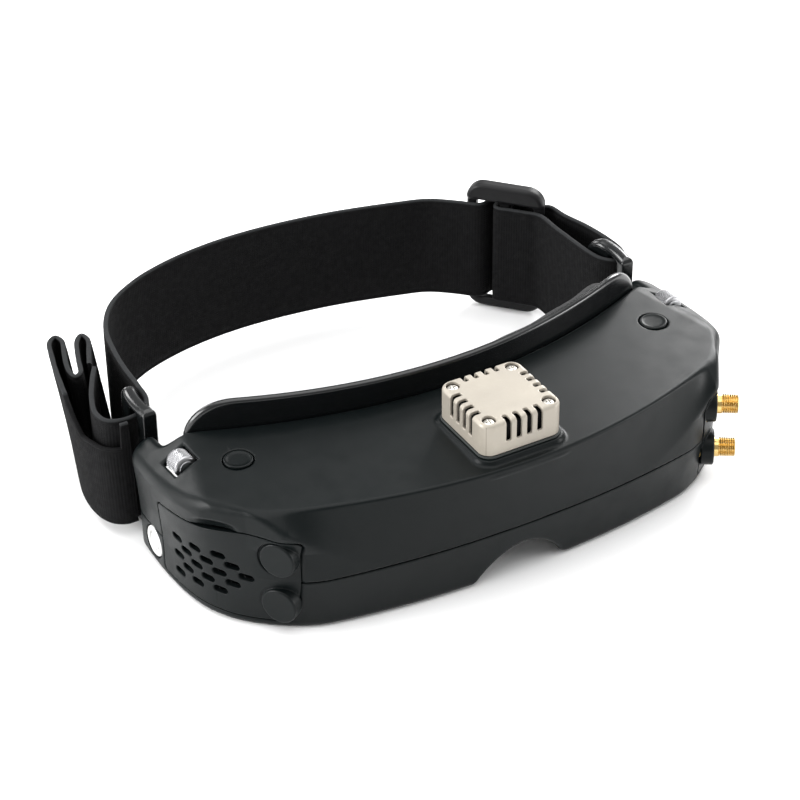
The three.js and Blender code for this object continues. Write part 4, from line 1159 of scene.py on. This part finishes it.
# ---- Buttons and rollers ----
for name, side in (("left", -1), ("right", 1)):
    x0, y0 = side * BUTTON_POS[0], BUTTON_POS[1]
    cap = rounded_profile([(0, 44.45, 0), (BUTTON_R - 1.3, 44.5, 0.6), (BUTTON_R - 0.9, BUTTON_TOP, 0.3),
                           (BUTTON_R, BUTTON_TOP, 0.45), (BUTTON_R, 42.4, 0.2), (1.6, 42.4, 0.1),
                           (1.6, 39.4, 0.2), (0, 39.4, 0)])
    finish_piece(lathed(f"{name}_button_cap", cap, (x0, y0, 0), (0, 0, 1), 96),
                 SHELL, "soft_touch_shell", f"{name}_button_body", f"{name}_button")

    half = WHEEL_LENGTH / 2
    rows = [(1.2, -half), (WHEEL_R - 0.75, -half), (WHEEL_R - 0.3, -half + 0.25),
            (WHEEL_R - 0.1, -half + 0.7)]
    first = len(rows)
    rows += [(WHEEL_R, h) for h in np.linspace(-half + 0.75, half - 0.75, 56)]
    last = len(rows)
    rows += [(WHEEL_R - 0.1, half - 0.7), (WHEEL_R - 0.3, half - 0.25), (WHEEL_R - 0.75, half), (1.2, half)]

    def knurl(index, turn, height, first=first, last=last):
        if not first <= index < last:
            return np.zeros_like(turn)
        around = turn * KNURL_TEETH / (2 * math.pi)
        along = height / KNURL_PITCH
        a = np.abs(((around + along) % 1) * 2 - 1)
        b = np.abs(((around - along) % 1) * 2 - 1)
        return -KNURL_DEPTH * (1 - np.minimum(a, b) ** 0.8)

    outward = np.array(on_wheel(side, 1)) - np.array(on_wheel(side, 0))
    wheel = lathed(f"{name}_wheel_knurl", rows, on_wheel(side, 0), outward, 208, knurl)
    finish_piece(wheel, SILVER, "silver", f"{name}_wheel_body", f"{name}_wheel")

power = rounded_profile([(0, 0.15, 0), (2.6, 0.2, 0.2), (2.75, -0.45, 0.1), (3.35, -0.45, 0.1),
                         (3.5, 0.25, 0.2), (4.7, 0.3, 0.4), (5.1, 0.0, 0.4), (5.1, -2.4, 0.2),
                         (1.6, -2.4, 0.1), (1.6, -5.6, 0.2), (0, -5.6, 0)])
finish_piece(lathed("power_button_cap", power, (-POWER_POS[0], POWER_POS[1], POWER_POS[2]), (-1, 0, 0), 96),
             WHITE, "white_plastic", "power_button_body", "power_button")

# ---- Optics ----
for name, side in (("left", -1), ("right", 1)):
    x = side * EYE_X
    lens = rounded_profile([(0, -2.8, 0), (6, -2.4, 2), (12.4, -0.8, 0.2), (12.4, 0.8, 0.2),
                            (6, 2.9, 2), (0, 3.4, 0)], 8)
    finish_piece(lathed(f"{name}_lens_glass", lens, (x, 21, EYE_Z), (0, 1, 0), 96),
                 GLASS, "lens_glass", f"{name}_lens_body", f"{name}_lens")

    def grooves(index, turn, height):
        if not (5 <= index <= 8 and 1.0 < height < 4.4):
            return np.zeros_like(turn)
        return np.where(np.cos(turn * 60) > 0.2, 0.0, -0.3)

    ring_rows = [(13.0, 0.3), (13.0, 5.0), (13.3, 5.3), (14.5, 5.3), (15.0, 4.8)]
    ring_rows += [(15.0, h) for h in (4.5, 4.3, 1.1, 0.9)]
    ring_rows += [(15.0, 0.5), (14.5, 0), (13.3, 0)]
    ring = lathed(f"{name}_focus_grip", ring_rows, (x, 27.3, EYE_Z), (0, 1, 0), 240, grooves)
    finish_piece(ring, BLACK, "black_plastic", f"{name}_focus_body", f"{name}_focus_ring")


# ---- Strap ----
SLIDER_CENTRE = (75.3, 122.7)
SLIDER_TURN = math.atan2(-0.75, 0.66)
SLIDER_HALF = (14.0, 24.9)
SLIDER_Z = 25.1
SLIDER_T = 3.4
SLIDER_WINDOW = (2.0, 10.4, 19.7)


def on_slider(u, w):
    """A plan point u along the slider and w out from its middle plane."""
    along, out = math.cos(SLIDER_TURN), math.sin(SLIDER_TURN)
    return (SLIDER_CENTRE[0] + u * along - w * out, SLIDER_CENTRE[1] + u * out + w * along)


# The end is sewn round the slider's middle bar; the band runs to the right arm, back over the slider,
# round the head and through the left arm.
SEWN_END = ((1.8, 2.9), (0, 3), (-1.7, 3.1), (-2.9, 2.5), (-3.3, 1.2), (-3.3, -1.2), (-2.9, -2.5),
            (-1.7, -3.1), (2, -3), (8, -3), (13, -3.3))
RIGHT_LOOP = ((81.8, 100), (82.2, 90), (82.8, 81), (84.2, 75.6), (87.8, 72.3), (91.4, 73.6), (93, 78),
              (93, 86), (91.4, 97), (89, 106))
OVER_SLIDER = ((15, 3.5), (12.2, 3), (9, 3.4), (6, 4.4), (3, 5), (0, 5.1), (-2.8, 4.9), (-5, 3.8),
               (-6.3, 2), (-7, 0), (-8.2, -1.8), (-10.2, -2.8), (-12.4, -3), (-16, -3.2), (-27, -5.2))
HEAD_ROUTE = ((43.5, 143), (18, 149.2), (-7, 152), (-25, 151.6), (-42, 148.6), (-57, 143), (-69.6, 134),
              (-77.2, 122), (-80.6, 108), (-82, 96), (-82.4, 86), (-83.6, 77), (-87.8, 72.2), (-94, 71),
              (-98.6, 73), (-100, 78), (-98, 86), (-93.4, 96), (-90, 102))
BAND_ROUTE = (*[on_slider(*spot) for spot in SEWN_END], *RIGHT_LOOP,
              *[on_slider(*spot) for spot in OVER_SLIDER], *HEAD_ROUTE)
TAIL_ROUTE = ((-88.4, 104.6), (-85.4, 111), (-82.6, 118.4), (-83.4, 121.4), (-86, 119), (-90, 109),
              (-93, 101.6), (-95.2, 100.4), (-95.6, 103.6), (-92.6, 114), (-90.2, 121.6), (-91.2, 124.6),
              (-94, 122.6), (-97, 113), (-100.4, 101), (-103, 90), (-103, 79), (-100.6, 71.6), (-97, 69),
              (-93.4, 68.7))
TAIL_LEAN = 2.6  # how far the folds lean out at the top
TAIL_DROP = 8.8  # how far the free end's top edge is below the band's


def webbing_strip(name, route, steps, lean=0.0, drop=0.0):
    """A ribbed band standing on its edge: the section runs up one face and down the other."""
    path, s = evenly(smooth_route(route, steps), RIB_PITCH / 4)
    tangent = np.gradient(path, axis=0)
    tangent /= np.linalg.norm(tangent, axis=1, keepdims=True)
    normal = np.stack([tangent[:, 1], -tangent[:, 0]], 1)
    low = STRAP_Z[0]
    half = STRAP_T / 2
    levels = np.array([0, 0.12, 0.4, 0.8, 1.2, 1.6, 2.0, 3.0, 6.0, 10, 14.5])
    levels = np.concatenate([levels, [STRAP_W / 2], STRAP_W - levels[::-1]])
    edge = np.minimum(levels, STRAP_W - levels)
    out = lean * np.clip((path[:, 1] - 70) / 40, 0.15, 1)
    shorter = 1 - drop / STRAP_W * np.clip((93 - path[:, 1]) / 12, 0, 1) * (path[:, 0] < -96)
    width = half * np.sqrt(np.clip(1 - ((0.6 - np.minimum(edge, 0.6)) / 0.6) ** 2, 0, 1))
    width = width - 0.28 * np.exp(-((edge - 1.5) / 0.35) ** 2)
    ribs = 0.07 * np.cos(2 * math.pi * s / RIB_PITCH)
    inner = np.clip((edge - 1.6) / 0.6, 0, 1)
    rows = []
    for face in (1, -1):
        order = range(len(levels)) if face > 0 else range(len(levels) - 2, 0, -1)
        for k in order:
            offset = face * (width[k] + ribs * inner[k])
            row = np.column_stack([path + normal * offset[:, None], low + levels[k] * shorter])
            row[:, 0] -= out * (2 * levels[k] / STRAP_W - 1)
            rows.append(row)
    ring = len(rows)
    points = np.stack(rows, 1).reshape(-1, 3)
    faces = []
    for i in range(len(path) - 1):
        base = i * ring
        for k in range(ring):
            nxt = (k + 1) % ring
            faces.append((base + k, base + nxt, base + ring + nxt, base + ring + k))
    count = len(points)
    faces.append(tuple(range(ring)))
    faces.append(tuple(count - ring + k for k in range(ring))[::-1])
    obj = new_object(name, points, faces)
    uv = obj.data.uv_layers.new(name="UVMap")
    corner = np.zeros(len(obj.data.loops), np.int32)
    obj.data.loops.foreach_get("vertex_index", corner)
    height = points[:, 2] - low
    along = np.repeat(s, ring)
    values = np.stack([along[corner], height[corner]], 1)
    uv.data.foreach_set("uv", values.ravel())
    return obj


band = webbing_strip("strap_band_webbing", BAND_ROUTE, 1100)
finish_piece(band, WEBBING, "webbing", "headset", "strap_band")
tail = webbing_strip("strap_tail_webbing", TAIL_ROUTE, 380, TAIL_LEAN, TAIL_DROP)
finish_piece(tail, WEBBING, "webbing", "headset", "strap_tail")


def slider(x, y, z):
    dx, dy = x - SLIDER_CENTRE[0], y - SLIDER_CENTRE[1]
    u = dx * math.cos(SLIDER_TURN) + dy * math.sin(SLIDER_TURN)
    w = -dx * math.sin(SLIDER_TURN) + dy * math.cos(SLIDER_TURN)
    near, far, high = SLIDER_WINDOW
    thick = SLIDER_T / 2 + 0.9 * np.clip((z - STRAP_Z[1] - 0.6) / 1.5, 0, 1)
    shape = both_round(turned_box(u, z - SLIDER_Z, *SLIDER_HALF, 6.0), np.abs(w) - thick, 1.5)
    for side in (-1, 1):
        hole = turned_box(u - side * (near + far) / 2, z - STRAP_MIDDLE, (far - near) / 2, high, 1.2)
        shape = without(shape, hole, 0.8)
    return shape


finish_piece(moulded("strap_slider_frame", slider, (63.2, 110, -0.8), (87.4, 135.4, 51), 0.4, 0.4),
             BLACK, "black_plastic", "headset", "strap_slider")

# ---- Pieces that keep their CAD shape: better materials and softened edges ----
CARRIED = {
    **dict.fromkeys(("fan_frame", "fan_rotor"), (BLACK, "black_plastic")),
    **dict.fromkeys(("receiver_board", "main_board"), (BOARD, "circuit_board")),
    **dict.fromkeys(("left_wheel_axle", "right_wheel_axle", "left_rail", "right_rail"), (STEEL, "steel")),
    **dict.fromkeys(("left_eye_carriage", "right_eye_carriage"), (BLACK, "black_plastic")),
    **dict.fromkeys(("left_display", "right_display"), (SCREEN, "screen")),
    **dict.fromkeys(("left_ipd_knob", "right_ipd_knob", "dc_jack", "audio_jack"), (BLACK, "black_plastic")),
    "video_port": (STEEL, "steel"),
    **{f"shell_screw_{i}": (SCREW, "steel") for i in range(1, 5)},
}
for node, (look, slot_name) in CARRIED.items():
    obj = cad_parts[node]
    obj.data.materials.clear()
    obj.data.materials.append(look)
    soften = obj.modifiers.new("soften", "BEVEL")
    soften.width = 0.00015
    soften.segments = 2
    soften.limit_method = "ANGLE"
    soften.angle_limit = math.radians(35)

# ---- Floor, lights and camera ----
def stage_floor():
    mesh = bpy.data.meshes.new("floor")
    reach = 3.0
    corners = [(-reach, -reach, 0), (reach, -reach, 0), (reach, reach, 0), (-reach, reach, 0)]
    mesh.from_pydata(corners, [], [(0, 1, 2, 3)])
    floor = bpy.data.objects.new("floor", mesh)
    bpy.context.scene.collection.objects.link(floor)
    look, tree, shader, where = material("pale_floor", (0.95, 0.95, 0.95), 0.8)
    tree.links.new(spread(tree, noise(tree, where, 30, 2), 0.75, 0.85), shader.inputs["Roughness"])
    shader.inputs["Specular IOR Level"].default_value = 0.1
    mesh.materials.append(look)


def lamp(name, place, aim, size, power, colour=(1, 1, 1)):
    data = bpy.data.lights.new(name, "AREA")
    data.shape = "RECTANGLE"
    data.size, data.size_y = size
    data.energy = power
    data.color = colour
    obj = bpy.data.objects.new(name, data)
    obj.location = place
    obj.rotation_mode = "QUATERNION"
    obj.rotation_quaternion = (Vector(aim) - Vector(place)).to_track_quat("-Z", "Y")
    bpy.context.scene.collection.objects.link(obj)


stage_floor()
lamp("top", (0, 0.1, 1.6), (0, 0.1, 0), (2.2, 2.2), 40)
lamp("back_left", (-0.5, 1.3, 0.7), (0, 0, 0.02), (0.5, 0.5), 7)
lamp("left", (-1.2, 0.3, 0.4), (0, 0, 0.02), (0.8, 0.6), 20)
lamp("right", (1.15, 0.75, 0.6), (0, 0, 0.02), (0.6, 0.6), 20)
lamp("right_low", (1.2, -0.75, 0.3), (0, 0, 0.02), (0.5, 0.4), 8)
world = bpy.data.worlds.new("studio")
world.use_nodes = True
world.node_tree.nodes["Background"].inputs["Color"].default_value = (1, 1, 1, 1)
world.node_tree.nodes["Background"].inputs["Strength"].default_value = 0.55
bpy.context.scene.world = world
bpy.context.scene.view_settings.view_transform = "Standard"

CAMERA_YAW = math.radians(-29.3)
CAMERA_UP = math.radians(34.4)
CAMERA_ROLL = math.radians(-0.73)
CAMERA_DISTANCE = 811.4
CAMERA_TARGET = (0, 65.6, 19.7)
back = Vector((math.sin(CAMERA_YAW) * math.cos(CAMERA_UP), -math.cos(CAMERA_YAW) * math.cos(CAMERA_UP),
               math.sin(CAMERA_UP)))
camera = bpy.data.objects.new("camera", bpy.data.cameras.new("camera"))
camera.data.sensor_width = 36
camera.data.lens = 112.5
camera.data.clip_start = 0.01
camera.data.clip_end = 20
camera.location = Vector(to_row(CAMERA_TARGET)) + back * CAMERA_DISTANCE / 1000
camera.rotation_mode = "QUATERNION"
turn = (-back).to_track_quat("-Z", "Y")
camera.rotation_quaternion = turn @ Quaternion((0, 0, 1), CAMERA_ROLL)
bpy.context.scene.collection.objects.link(camera)
bpy.context.scene.camera = camera
